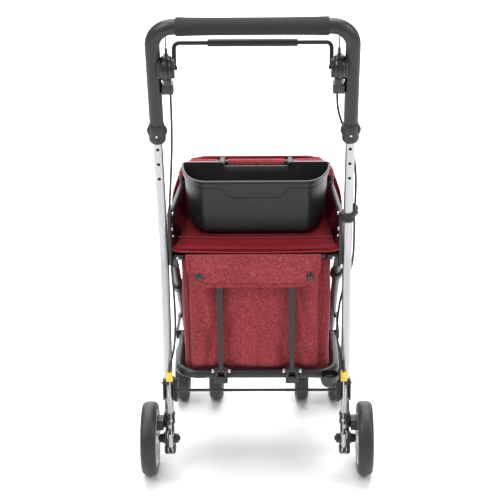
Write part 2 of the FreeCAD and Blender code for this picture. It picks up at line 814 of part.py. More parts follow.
def cut_spoke_windows(body, low, high):
    """Five windows that leave five spokes."""
    window = pocket(body, "YZ_Plane", [(-10, 21), (10, 21), (24, 46), (-24, 46)], low, high)
    pattern = body.newObject("PartDesign::PolarPattern", "spokes")
    pattern.Originals = [window]
    x_axis = [f for f in body.Origin.OriginFeatures if f.Role == "X_Axis"][0]
    pattern.Axis = (x_axis, [""])
    pattern.Angle = 360
    pattern.Occurrences = 5
    body.Tip = pattern


def place_wheel(body):
    body.setExpression("Placement.Base.z", "Dims.wheel_radius")


# ---- front frame ----


def leg_point(distance):
    """Y and Z of a place on a front leg, at a distance from the folding pivot."""
    run = number(D.cross_y) - number(D.fold_y)
    drop = number(D.fold_height) - number(D.cross_height)
    whole = math.hypot(run, drop)
    return (
        D.fold_y + (D.cross_y - D.fold_y) * (distance / whole),
        D.fold_height - (D.fold_height - D.cross_height) * (distance / whole),
    )


def leg_direction():
    y, z = leg_point(1)
    return (0, number(y) - number(D.fold_y), number(z) - number(D.fold_height))


def front_sweep(bore=None):
    """The front tube's outside, or the whole tube when it is given a bore."""
    x = D.leg_x
    right = [(x, *leg_point(40)), (x, D.cross_y, D.cross_height)]
    route = right + [(-a, b, c) for a, b, c in reversed(right)]
    return tube(route, D.leg_radius, [28, 28], bore)


def make_front_tube():
    """Both front legs and the cross tube between them, bent from one tube."""
    bent = front_sweep(D.leg_radius - 1.5)
    y, z = D.base_pivot_y, D.base_height
    bores = [rod_across(*side_range(side, 150, 190), y, z, 4 + D.running_gap) for side in (-1, 1)]
    finish("front_tube", cut(bent, *bores))


def make_leg_ends():
    """Flat tongues in the tops of the front legs that turn on the side plates' studs, and sleeves."""
    ends = []
    down = leg_direction()
    for side in (-1, 1):
        low, high = side_range(side, 163, 171)
        eye = rod_across(low, high, D.fold_y, D.fold_height, 8)
        tongue = DOC.addObject("Part::Box", "tongue")
        tongue.setExpression("Length", "8")
        tongue.setExpression("Width", "16")
        tongue.setExpression("Height", "40")
        square = (0, down[2], -down[1])
        corner = (low, D.fold_y - 8 * square[1], D.fold_height - 8 * square[2])
        axes = [VECTOR(1, 0, 0), VECTOR(*square), VECTOR(*down)]
        turn = FreeCAD.Rotation(*axes)
        place(tongue, corner, turn)
        plug = rod((side * D.leg_x, *leg_point(40)), down, 18, D.leg_radius - 1.5)
        stud = rod_across(low, high, D.fold_y, D.fold_height, 4 + D.running_gap)
        ends.append(cut(join(eye, tongue, plug), stud))
    for side, distance in ((-1, 168), (1, 88)):
        sleeve = rod((side * D.leg_x, *leg_point(distance)), down, 22, D.leg_radius + 4.5)
        leg = rod((side * D.leg_x, *leg_point(distance - 5)), down, 32, D.leg_radius)
        ends.append(cut(sleeve, leg))
    finish("leg_ends", group(*ends))


def make_caster_sockets():
    """Sockets under the front cross tube that the caster stems turn in."""
    sockets = []
    for side in (-1, 1):
        x = side * D.caster_x
        barrel = rod((x, D.cross_y, 130), (0, 0, 1), D.cross_height - 130, 14)
        stem = rod((x, D.cross_y, 129), (0, 0, 1), 25, 5 + D.running_gap)
        sockets.append(cut(barrel, front_sweep(), stem))
    finish("caster_sockets", group(*sockets))


def make_caster_fork(side):
    """Stem and trailing body between the twin front wheels."""
    y = D.cross_y
    x = side * D.caster_x
    axle_y = y - D.caster_trail
    outline = [
        (y - 13, 124), (y + 13, 124), (y + 13, 104), (axle_y + 14, 55), (axle_y - 13, 52),
        (axle_y - 13, 76), (y - 14, 108),
    ]
    arm = plate("YZ_Plane", outline, x - 13, x + 13)
    fillet(arm, 5, lambda e: is_along(e, (1, 0, 0)))
    flange = rod((x, y, 122), (0, 0, 1), 6, 14)
    stem = rod((x, y, 126), (0, 0, 1), 26, 5)
    bore = rod_across(
        x - 30, x + 30, axle_y, D.caster_radius, D.axle_radius + D.running_gap
    )
    finish(f"caster_fork_{side_name(side)}", cut(join(arm, flange, stem), bore))


def make_caster_wheels(side):
    """Twin hubs on one axle, and their tyres."""
    name = side_name(side)
    x = side * D.caster_x
    inner, outer = D.caster_inner, D.caster_inner + D.caster_width
    hubs, tyres = [], []
    for out in (-1, 1):
        hub = turned([
            (x + out * (inner + 1), 3), (x + out * (outer - 1), 3),
            (x + out * (outer - 1), 14), (x + out * (outer - 9), 18),
            (x + out * (outer - 9), 38), (x + out * (outer - 2), 41), (x + out * (outer - 2), 47),
            (x + out * (inner + 2), 47), (x + out * (inner + 2), 40), (x + out * (inner + 9), 37),
            (x + out * (inner + 9), 18), (x + out * (inner + 1), 14),
        ])
        hubs.append(hub)
        tyre = turned([
            (x + out * inner, 47), (x + out * outer, 47),
            (x + out * outer, D.caster_radius - 7), (x + out * (outer - 7), D.caster_radius),
            (x + out * (inner + 7), D.caster_radius), (x + out * inner, D.caster_radius - 7),
        ])
        crown = D.caster_radius.number - 0.1
        fillet(tyre, 4, lambda e: e.BoundBox.ZMax > crown)
        tyres.append(tyre)
    axle = rod((x - outer + 3, 0, 0), (1, 0, 0), (outer - 3) * 2, D.axle_radius)
    centre = (D.cross_y - D.caster_trail).formula
    for label, item in (
        (f"caster_hubs_{name}", join(axle, *hubs)), (f"caster_tyres_{name}", group(*tyres))
    ):
        item.setExpression("Placement.Base.y", centre)
        item.setExpression("Placement.Base.z", "Dims.caster_radius")
        finish(label, item)


# ---- folding base ----


def make_base_hoop():
    """U-shaped tube under the bag, open to the front."""
    x, z = D.base_x, D.base_height
    front = 195
    route = [(x, front, z), (x, 0, z), (-x, 0, z), (-x, front, z)]
    corners = [D.base_corner, D.base_corner]
    finish("base_hoop", group(tube(route, D.base_radius, corners, D.base_radius - 1.5)))


def make_base_links():
    """Forked ends of the base hoop that straddle the front legs."""
    links = []
    y, z = D.base_pivot_y, D.base_height
    for side in (-1, 1):
        x = side * D.base_x
        plug = rod((x, 178, z), (0, 1, 0), 17, D.base_radius - 1.5)
        bridge = block(
            (side_range(side, 157, 183)[0], 195, z - 10), (side_range(side, 157, 183)[1], 199, z + 10)
        )
        ears = []
        for low, high in ((157, 161), (179, 183)):
            a, b = side_range(side, low, high)
            ears.append(block((a, 199, z - 9), (b, y, z + 9)))
            ears.append(rod_across(a, b, y, z, 9))
        pin = rod_across(*side_range(side, 157, 183), y, z, 4)
        ends = [
            rod_across(*side_range(side, 155, 157), y, z, 6.5),
            rod_across(*side_range(side, 183, 185), y, z, 6.5),
        ]
        links.append(join(plug, bridge, *ears, pin, *ends))
    finish("base_links", group(*links))


def make_base_board():
    """Stiff board in the base hoop that the bag stands on, with tabs under the tube."""
    half = 150
    tab = 168
    right = [
        (half, 12), (half, 50), (tab, 50), (tab, 72), (half, 72), (half, 150), (tab, 150),
        (tab, 172), (half, 172), (half, 282),
    ]
    outline = right + [(-x, y) for x, y in reversed(right)]
    under = D.base_height - D.base_radius
    board = plate("XY_Plane", outline, under - 3, under)
    finish("base_board", board)


def make_base_clevises():
    """Clevises clamped on the rear tube of the base hoop for the seat struts."""
    clevises = []
    y, z = D.strut_foot_y, D.strut_foot_height
    for side in (-1, 1):
        x = side * D.strut_x
        pieces = [block((x - 15, -22, 221), (x + 15, 8, 236))]
        for out in (-1, 1):
            low, high = sorted((out * 5.4, out * 15))
            pieces.append(block((x + low, y - 7, 230), (x + high, 2, z + 6)))
            pieces.append(rod_across(x + low, x + high, y, z + 4, 7))
        tube_hole = rod_across(x - 30, x + 30, 0, D.base_height, D.base_radius)
        swing = block((x - 5.4, -30, 238), (x + 5.4, 12, 262))
        pin = rod_across(x - 16, x + 16, y, z, 2.5)
        clevises.append(cut(join(*pieces), tube_hole, swing, pin))
    finish("base_clevises", group(*clevises))


def make_base_bolts():
    """Bolts through the clevises and struts."""
    bolts = []
    y, z = D.strut_foot_y, D.strut_foot_height
    for side in (-1, 1):
        x = side * D.strut_x
        pin = rod_across(x - 15, x + 15, y, z, 2.5)
        heads = [rod_across(x - 20, x - 15, y, z, 5), rod_across(x + 15, x + 20, y, z, 5)]
        bolts.append(join(pin, *heads))
    finish("base_bolts", group(*bolts))


def make_cane_cup():
    """Open bowl at the right rear corner of the base for a walking stick's tip."""
    x, y, floor = 153, -31.5, 222
    outer = rod((x, y, floor), (0, 0, 1), 28, 12, D.cup_radius)
    inner = rod((x, y, floor + 3), (0, 0, 1), 28, 10.5, D.cup_radius - 1.5)
    arm = block((x - 10, y + 8, 228), (x + 8, -2, 240))
    hoop = rod_across(100, 190, 0, D.base_height, D.base_radius)
    finish("cane_cup", cut(join(outer, arm), inner, hoop))


def make_struts():
    """Tapered bars from the base clevises up to the seat."""
    struts = []
    foot_y, foot_z = D.strut_foot_y, D.strut_foot_height
    top_y, top_z = D.strut_top_y, D.strut_top_height
    half_foot, half_top = 4.7, 6.8
    for side in (-1, 1):
        x = side * D.strut_x
        taper = plate(
            "XZ_Plane",
            [(x - half_foot, foot_z), (x + half_foot, foot_z), (x + half_top, top_z),
             (x - half_top, top_z)],
            -foot_y - 4, -foot_y + 4,
        )
        eye = rod_across(x - half_foot, x + half_foot, foot_y, foot_z, 5)
        end = rod_across(x - half_top, x + half_top, foot_y, top_z, 4)
        pin = rod_across(x - 10, x + 10, foot_y, foot_z, 2.5 + D.running_gap)
        bar = cut(join(taper, eye, end), pin)
        lean = math.degrees(math.atan2(number(foot_y) - number(top_y), number(top_z - foot_z)))
        bar.Placement = FreeCAD.Placement(
            VECTOR(), FreeCAD.Rotation(VECTOR(1, 0, 0), lean), point(x, foot_y, foot_z)
        )
        struts.append(bar)
    finish("struts", group(*struts))


# ---- seat and bag ----


def make_seat_board():
    """Stiff board under the seat cushion, with the ears that the struts stand between."""
    board = block((-148, -14, 504), (148, 172, D.seat_bottom))
    board = rounded(board, 10, lambda e: is_along(e, (0, 0, 1)))
    ears = []
    for side in (-1, 1):
        for out in (-1, 1):
            x = side * D.strut_x
            low, high = sorted((out * 8, out * 11))
            ears.append(block((x + low, -14, 482), (x + high, -2, 505)))
    finish("seat_board", join(board, *ears))


def make_seat_cushion():
    """Padded seat, narrower in front so that it swings up between the sides of the bag hoop."""
    wide, narrow = D.seat_half, D.seat_half - D.seat_taper
    rear, front = D.seat_back_y, D.seat_front_y
    right = [(wide, rear), (wide, 20), (narrow, 60), (narrow, front)]
    outline = right + [(-x, y) for x, y in reversed(right)]
    cushion = plate("XY_Plane", outline, D.seat_bottom, D.seat_top)
    cushion = rounded(cushion, 22, lambda e: is_along(e, (0, 0, 1)))
    top = D.seat_top.number - 0.1
    finish("seat_cushion", rounded(cushion, 8, lambda e: e.BoundBox.ZMin > top))


def make_seat_hinges():
    """Clips that hinge the seat board on the rail's front tube."""
    clips = []
    y, z = D.hinge_y, D.rail_height
    for x in (-105, 105):
        ring = rod_across(x - 10, x + 10, y, z, D.rail_radius + 4)
        arm = block((x - 10, 150, 500), (x + 10, y, 504))
        bore = rod_across(x - 11, x + 11, y, z, D.rail_radius + D.running_gap)
        clips.append(cut(join(ring, arm), bore))
    finish("seat_hinges", group(*clips))


def bag_side(inset):
    """Side outline of the bag as (y, z) corners, moved inwards by an inset."""
    back = D.bag_back_y + inset
    return [
        (back, D.bag_bottom + inset), (272 - inset, D.bag_bottom + inset),
        (286 - inset * 1.2, 262 + inset), (224 - inset * 1.1, D.bag_top), (back, D.bag_top),
    ]


def make_bag():
    """Shopping bag under the seat, open at the top."""
    half, wall = D.bag_half, D.bag_wall
    body = plate("YZ_Plane", bag_side(0), -half, half)
    fillet(body, 14, lambda e: is_along(e, (0, 0, 1)) and e.BoundBox.YMax < 25)
    hollow = plate("YZ_Plane", bag_side(wall), wall - half, half - wall)
    fillet(hollow, 10, lambda e: is_along(e, (0, 0, 1)) and e.BoundBox.YMax < 30)
    finish("bag", cut(body, hollow))


def make_bag_arch():
    """Arched padded panel in front of the seat that closes the bag's top."""
    half, top = D.arch_half, D.arch_top
    outline = [
        (-half, 480), (half, 480), (half, top - 62), (half - 34, top), (34 - half, top),
        (-half, top - 62),
    ]
    body = plate("XZ_Plane", outline, -252, -229.5)
    shoulder = number(top) - 70
    fillet(body, 52, lambda e: is_along(e, (0, 1, 0)) and e.BoundBox.ZMin > shoulder)
    finish("bag_arch", body)


def make_pocket_flap():
    """Flap of the rear pocket, hanging in front of the struts."""
    flap = block((-141, -24, 444), (132, -20, 511))
    flap = rounded(flap, 30, lambda e: is_along(e, (0, 1, 0)) and e.BoundBox.ZMax < 450)
    finish("pocket_flap", flap)


def make_pocket_snaps():
    """Snap caps on the pocket flap."""
    snaps = [rod((x, -24, 469), (0, -1, 0), 3, 8, 5.5) for x in (-116, 112)]
    finish("pocket_snaps", group(*snaps))


def basket_outline(inset):
    """D-shaped outline of the basket as (x, y) corners, moved inwards by an inset."""
    half, rear, front = 156 - inset, 178 - inset, 50 + inset
    right = [
        (half - 60, front), (half - 30, front + 14), (half - 9, front + 40), (half, 114),
        (half, rear - 18), (half - 5, rear - 6), (half - 16, rear),
    ]
    return right + [(-x, y) for x, y in reversed(right)]


def basket_tub(inset, low):
    """A solid D-shaped tub that tapers towards its floor."""
    body = new_body()
    lower = body_sketch(body, "XY_Plane", basket_outline(8 + inset), low)
    upper = body_sketch(body, "XY_Plane", basket_outline(inset), D.basket_top)
    loft = body.newObject("PartDesign::AdditiveLoft", "loft")
    loft.Profile = lower
    loft.Sections = [upper]
    loft.Ruled = True
    return body


def make_basket():
    """Open moulded basket with a turned-out rim and two hooks."""
    lip = plate("XY_Plane", basket_outline(-3), D.basket_top - 6, D.basket_top)
    hollow = basket_tub(number(D.basket_wall), D.basket_bottom + D.basket_wall)
    tub = cut(join(basket_tub(0, D.basket_bottom), lip), hollow)
    finish("basket", join(tub, *basket_hooks()))


def basket_hooks():
    """Hooks on the basket's far wall that drop over the bag hoop."""
    hooks = []
    y, z = D.hoop_y, D.hoop_top_height
    for x in (-73, 73):
        arm = block((x - 9, 179, z + 7.2), (x + 9, y + 8.8, z + 11))
        tip = block((x - 9, y + 7, z - 6), (x + 9, y + 8.8, z + 11))
        hooks.append(join(arm, tip))
    return hooks


def build_walker():
    """Build every sub-part."""
    for side in (-1, 1):
        make_post(side)
        make_wheel_carrier(side)
        make_lock_button(side)
        make_lever_housing(side)
        make_brake_shoe(side)
        make_rear_wheel(side)
        make_caster_fork(side)
        make_caster_wheels(side)
    make_side_plates()
    make_seat_rail()
    make_bag_hoop()
    make_post_brackets()
    make_cross_rod()
    make_cable_clips()
    make_rear_axles()
    make_frame_bolts()
    make_brake_cable("brake_cable_left", cable_route_left())
    make_brake_cable("brake_cable_right", cable_route_right())
    make_brake_wires()
    make_cane_clip()
    make_handle_tube()
    make_leg_covers()
    make_foam_grip()
    make_collars()
    make_cable_adjusters()
    make_handle_screws()
    make_brake_bar()
    make_bar_grip()
    make_front_tube()
    make_leg_ends()
    make_caster_sockets()
    make_base_hoop()
    make_base_links()
    make_base_board()
    make_base_clevises()
    make_base_bolts()
    make_cane_cup()
    make_struts()
    make_seat_board()
    make_seat_cushion()
    make_seat_hinges()
    make_bag()
    make_bag_arch()
    make_pocket_flap()
    make_pocket_snaps()
    make_basket()


def check_document():
    """Stop if any object failed or any finished shape is unsound."""
    for item in DOC.Objects:
        if "Invalid" in item.State or "Error" in item.State:
            raise RuntimeError(f"{item.Name} ({item.Label}) failed: {item.State}")
    for item in PARTS:
        shape = item.Shape
        if shape.isNull() or not shape.isValid() or not shape.Solids:
            raise RuntimeError(f"{item.Label} has no sound shape")


def write_parts():
    os.makedirs("parts", exist_ok=True)
    for item in PARTS:
        item.Shape.exportStep(os.path.join("parts", f"{item.Label}.step"))
    print(f"{len(PARTS)} sub-parts written")


build_walker()
DOC.recompute()
check_document()
write_parts()
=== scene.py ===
"""Folding shopping walker: finishes, cloth, moulded details, light and camera around the CAD frame."""

import json
import logging
import math
from dataclasses import dataclass
from enum import Enum
from typing import Callable, Iterable, Sequence

import bmesh
import bpy
from mathutils import Matrix, Vector, noise
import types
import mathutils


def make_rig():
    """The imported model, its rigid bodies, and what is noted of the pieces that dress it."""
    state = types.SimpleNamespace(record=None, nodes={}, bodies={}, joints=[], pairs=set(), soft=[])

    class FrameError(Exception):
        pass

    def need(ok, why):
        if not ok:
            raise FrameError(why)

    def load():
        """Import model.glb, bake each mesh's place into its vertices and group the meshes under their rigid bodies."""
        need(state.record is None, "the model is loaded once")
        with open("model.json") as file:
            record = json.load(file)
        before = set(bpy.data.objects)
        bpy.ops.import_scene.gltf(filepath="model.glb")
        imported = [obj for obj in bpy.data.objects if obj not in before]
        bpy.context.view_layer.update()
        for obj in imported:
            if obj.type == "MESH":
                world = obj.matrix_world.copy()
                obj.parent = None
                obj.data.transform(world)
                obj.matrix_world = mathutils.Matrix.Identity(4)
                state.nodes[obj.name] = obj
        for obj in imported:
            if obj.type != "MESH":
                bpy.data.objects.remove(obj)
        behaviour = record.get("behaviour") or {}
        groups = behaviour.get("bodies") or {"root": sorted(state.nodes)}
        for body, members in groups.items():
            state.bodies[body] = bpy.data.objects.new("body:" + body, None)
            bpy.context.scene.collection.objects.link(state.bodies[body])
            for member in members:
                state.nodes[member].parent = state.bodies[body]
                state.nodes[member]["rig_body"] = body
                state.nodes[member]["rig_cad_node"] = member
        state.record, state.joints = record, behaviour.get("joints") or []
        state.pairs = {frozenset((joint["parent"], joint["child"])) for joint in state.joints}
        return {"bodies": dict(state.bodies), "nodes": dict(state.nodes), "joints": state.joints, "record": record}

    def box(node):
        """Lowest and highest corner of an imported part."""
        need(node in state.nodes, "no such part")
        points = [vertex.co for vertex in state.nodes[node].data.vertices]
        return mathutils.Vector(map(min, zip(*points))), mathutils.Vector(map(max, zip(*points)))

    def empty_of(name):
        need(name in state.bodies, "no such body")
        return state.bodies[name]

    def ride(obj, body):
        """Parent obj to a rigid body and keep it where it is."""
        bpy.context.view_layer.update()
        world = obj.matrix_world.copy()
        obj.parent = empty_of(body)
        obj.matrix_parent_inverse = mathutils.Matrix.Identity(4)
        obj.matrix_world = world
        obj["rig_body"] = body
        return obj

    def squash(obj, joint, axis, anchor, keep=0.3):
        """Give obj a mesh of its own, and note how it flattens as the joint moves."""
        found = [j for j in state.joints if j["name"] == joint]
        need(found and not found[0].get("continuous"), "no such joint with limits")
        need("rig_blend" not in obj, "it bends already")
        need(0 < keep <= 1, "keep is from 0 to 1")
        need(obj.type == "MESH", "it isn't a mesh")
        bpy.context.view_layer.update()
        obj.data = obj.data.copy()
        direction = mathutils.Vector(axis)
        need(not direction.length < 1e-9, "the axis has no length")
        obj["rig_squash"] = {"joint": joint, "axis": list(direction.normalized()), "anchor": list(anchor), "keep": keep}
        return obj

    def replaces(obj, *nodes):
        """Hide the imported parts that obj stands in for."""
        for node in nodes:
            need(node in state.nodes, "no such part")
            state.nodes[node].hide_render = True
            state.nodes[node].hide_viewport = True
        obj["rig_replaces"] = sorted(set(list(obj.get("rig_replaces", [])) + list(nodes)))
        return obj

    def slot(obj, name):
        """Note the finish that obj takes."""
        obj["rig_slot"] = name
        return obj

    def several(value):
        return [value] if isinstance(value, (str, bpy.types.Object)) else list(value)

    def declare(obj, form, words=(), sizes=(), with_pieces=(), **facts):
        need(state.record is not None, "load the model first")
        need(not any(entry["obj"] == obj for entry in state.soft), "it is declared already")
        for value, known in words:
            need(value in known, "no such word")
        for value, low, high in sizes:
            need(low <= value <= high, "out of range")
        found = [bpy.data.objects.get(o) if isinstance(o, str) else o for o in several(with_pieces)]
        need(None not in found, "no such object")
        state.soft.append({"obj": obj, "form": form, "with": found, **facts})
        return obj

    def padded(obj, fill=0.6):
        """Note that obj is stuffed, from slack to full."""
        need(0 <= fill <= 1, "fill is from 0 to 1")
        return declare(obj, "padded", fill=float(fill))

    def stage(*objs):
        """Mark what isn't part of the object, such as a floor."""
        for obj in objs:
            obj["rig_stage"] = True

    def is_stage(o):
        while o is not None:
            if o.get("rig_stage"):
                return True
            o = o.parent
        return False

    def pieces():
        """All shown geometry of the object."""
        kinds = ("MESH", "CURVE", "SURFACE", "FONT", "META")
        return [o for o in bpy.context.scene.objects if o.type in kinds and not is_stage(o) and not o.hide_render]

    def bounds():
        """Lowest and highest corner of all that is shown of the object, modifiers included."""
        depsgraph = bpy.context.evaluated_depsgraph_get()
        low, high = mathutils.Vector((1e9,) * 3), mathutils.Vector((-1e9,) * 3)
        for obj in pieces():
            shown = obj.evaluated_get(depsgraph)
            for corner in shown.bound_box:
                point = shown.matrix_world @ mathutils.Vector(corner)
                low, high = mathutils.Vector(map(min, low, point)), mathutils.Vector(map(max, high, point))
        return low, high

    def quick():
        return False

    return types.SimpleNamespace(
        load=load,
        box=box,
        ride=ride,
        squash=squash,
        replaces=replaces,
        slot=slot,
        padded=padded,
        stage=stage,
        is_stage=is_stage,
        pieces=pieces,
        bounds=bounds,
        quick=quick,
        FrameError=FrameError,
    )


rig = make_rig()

LOG = logging.getLogger("walker")
MM = 0.001
AXLE_Y = -0.1354
LEAN = math.radians(14.5)
BEND_Z = 0.510
POST_X_MM = 188.0
POST_X = POST_X_MM * MM
ALONG_POST = Vector((0, -math.sin(LEAN), math.cos(LEAN)))
FORWARD_OF_POST = Vector((0, math.cos(LEAN), math.sin(LEAN)))

Profile = Sequence[tuple[float, float]]
Shaper = Callable[[Vector], Vector]


def at(x: float, y: float, z: float) -> Vector:
    """A point given in millimetres from the rear axle, as metres in the row frame."""
    return Vector((x * MM, y * MM + AXLE_Y, z * MM))


def on_post(x: float, rise: float, forward: float = 0.0) -> Vector:
    """A point in line with the leaning upper posts.

    Args:
        x: millimetres to the right of the middle.
        rise: millimetres along the post above its bend.
        forward: millimetres square to the post, in the direction of travel.

    Returns:
        The point in the row frame, in metres.
    """
    start = Vector((x * MM, AXLE_Y, BEND_Z))
    return start + ALONG_POST * rise * MM + FORWARD_OF_POST * forward * MM


def smooth_step(low: float, high: float, value: float) -> float:
    """Rise smoothly from 0 at low to 1 at high."""
    t = min(1.0, max(0.0, (value - low) / (high - low)))
    return t * t * (3 - 2 * t)


def bell(value: float, centre: float, width: float) -> float:
    """A smooth hump of height 1 round a centre."""
    return math.exp(-(((value - centre) / width) ** 2))


# ---- finishes ----


@dataclass
class NodeBench:
    """Places nodes in a tree and joins them.

    Attributes:
        tree: the node tree that is filled.
    """

    tree: bpy.types.NodeTree

    def add(self, kind: str, values: dict[str, object] | None = None, **settings: object) -> bpy.types.Node:
        """Add a node.

        Args:
            kind: the node's type without its ShaderNode prefix.
            values: numbers or sockets for its inputs, by input name or index.
            settings: the node's own properties.

        Returns:
            The new node.
        """
        node = self.tree.nodes.new(f"ShaderNode{kind}" if not kind.startswith("Node") else kind)
        for name, value in settings.items():
            setattr(node, name, value)
        for name, value in (values or {}).items():
            self.feed(node.inputs[name], value)
        return node

    def feed(self, socket: bpy.types.NodeSocket, value: object) -> None:
        """Link a socket into an input, or set the input's own value."""
        if isinstance(value, bpy.types.NodeSocket):
            self.tree.links.new(value, socket)
        else:
            socket.default_value = value

    def math(self, operation: str, first: object, second: object = 0.0) -> bpy.types.NodeSocket:
        """The output of a Math node."""
        return self.add("Math", {0: first, 1: second}, operation=operation).outputs[0]

    def mix(self, factor: object, first: object, second: object) -> bpy.types.NodeSocket:
        """The colour output of a Mix node."""
        node = self.add("Mix", data_type="RGBA")
        colours = [s for s in node.inputs if s.type == "RGBA"]
        self.feed(node.inputs[0], factor)
        self.feed(colours[0], first)
        self.feed(colours[1], second)
        return next(s for s in node.outputs if s.type == "RGBA")

    def noise(self, vector: object, scale: object, detail: float = 3.0) -> bpy.types.NodeSocket:
        """The value of a noise texture."""
        node = self.add("TexNoise", {"Vector": vector, "Scale": scale, "Detail": detail})
        return node.outputs[0]

    def stretched(self, vector: object, scale: tuple[float, float, float]) -> bpy.types.NodeSocket:
        """A vector scaled differently along each axis."""
        return self.add("Mapping", {"Vector": vector, "Scale": scale}).outputs[0]


@dataclass(frozen=True)
class PatternGroup:
    """A shader node group that several finishes share.

    Attributes:
        name: the group's name.
        numbers: its number inputs and their defaults.
        outputs: its number outputs.
        fill: puts the nodes in and returns the socket of each output.
    """

    name: str
    numbers: dict[str, float]
    outputs: tuple[str, ...]
    fill: Callable[[NodeBench, dict[str, bpy.types.NodeSocket]], list[bpy.types.NodeSocket]]

    def tree(self) -> bpy.types.NodeTree:
        """The group's tree, built the first time that it is asked for."""
        if self.name in bpy.data.node_groups:
            return bpy.data.node_groups[self.name]
        tree = bpy.data.node_groups.new(self.name, "ShaderNodeTree")
        tree.interface.new_socket("Vector", in_out="INPUT", socket_type="NodeSocketVector")
        for name, value in self.numbers.items():
            socket = tree.interface.new_socket(name, in_out="INPUT", socket_type="NodeSocketFloat")
            socket.default_value = value
        for name in self.outputs:
            tree.interface.new_socket(name, in_out="OUTPUT", socket_type="NodeSocketFloat")
        bench = NodeBench(tree)
        entry = bench.add("NodeGroupInput")
        leave = bench.add("NodeGroupOutput")
        made = self.fill(bench, {s.name: s for s in entry.outputs if s.name})
        for socket, result in zip(leave.inputs, made):
            bench.feed(socket, result)
        return tree


def fill_weave(bench: NodeBench, given: dict[str, bpy.types.NodeSocket]) -> list[bpy.types.NodeSocket]:
    """Crossed threads in three directions, with lighter and darker yarns among them."""
    fine = bench.add("VectorMath", {0: given["Vector"], "Scale": given["Threads"]}, operation="SCALE")
    threads = [
        bench.noise(bench.stretched(fine.outputs[0], scale), 1.0, 1.0)
        for scale in ((0.16, 0.16, 1.0), (1.0, 0.16, 0.16), (0.16, 1.0, 0.16))
    ]
    height = bench.math("MAXIMUM", bench.math("MAXIMUM", threads[0], threads[1]), threads[2])
    yarn = bench.math("MULTIPLY", bench.math("SUBTRACT", height, 0.56), 4.2)
    cloud = bench.noise(given["Vector"], 14.0, 4.0)
    shade = bench.math("ADD", bench.math("MULTIPLY", yarn, given["Melange"]), 0.42)
    worn = bench.math("ADD", shade, bench.math("MULTIPLY", bench.math("SUBTRACT", cloud, 0.5), 0.5))
    return [height, bench.add("Clamp", {0: worn}).outputs[0]]


def fill_grain(bench: NodeBench, given: dict[str, bpy.types.NodeSocket]) -> list[bpy.types.NodeSocket]:
    """Fine moulded grain over slow patches of shade."""
    fine = bench.noise(given["Vector"], given["Size"], 2.0)
    slow = bench.noise(given["Vector"], 18.0, 4.0)
    return [fine, bench.add("Clamp", {0: bench.math("ADD", bench.math("MULTIPLY", slow, 1.6), -0.3)}).outputs[0]]


def fill_scuffs(bench: NodeBench, given: dict[str, bpy.types.NodeSocket]) -> list[bpy.types.NodeSocket]:
    """A mask of sparse rubbed streaks, and more of them on edges that stand out."""
    streak = bench.noise(bench.stretched(given["Vector"], (160.0, 160.0, 26.0)), 1.0, 5.0)
    sparse = bench.math("MULTIPLY", bench.math("SUBTRACT", streak, 0.62), 6.0)
    edge = bench.add("NewGeometry").outputs["Pointiness"]
    proud = bench.math("MULTIPLY", bench.math("SUBTRACT", edge, 0.53), 9.0)
    both = bench.math("MAXIMUM", sparse, bench.math("MULTIPLY", proud, streak))
    clamped = bench.add("Clamp", {0: both}).outputs[0]
    return [bench.math("MULTIPLY", clamped, given["Amount"])]


WEAVE = PatternGroup("crossed threads", {"Threads": 900.0, "Melange": 1.0}, ("Height", "Shade"), fill_weave)
GRAIN = PatternGroup("moulded grain", {"Size": 900.0}, ("Height", "Shade"), fill_grain)
SCUFFS = PatternGroup("rubbed streaks", {"Amount": 0.3}, ("Mask",), fill_scuffs)


class Surface(Enum):
    """The kinds of surface pattern."""

    MOULDED = "moulded"
    WOVEN = "woven"
    DRAWN = "drawn"


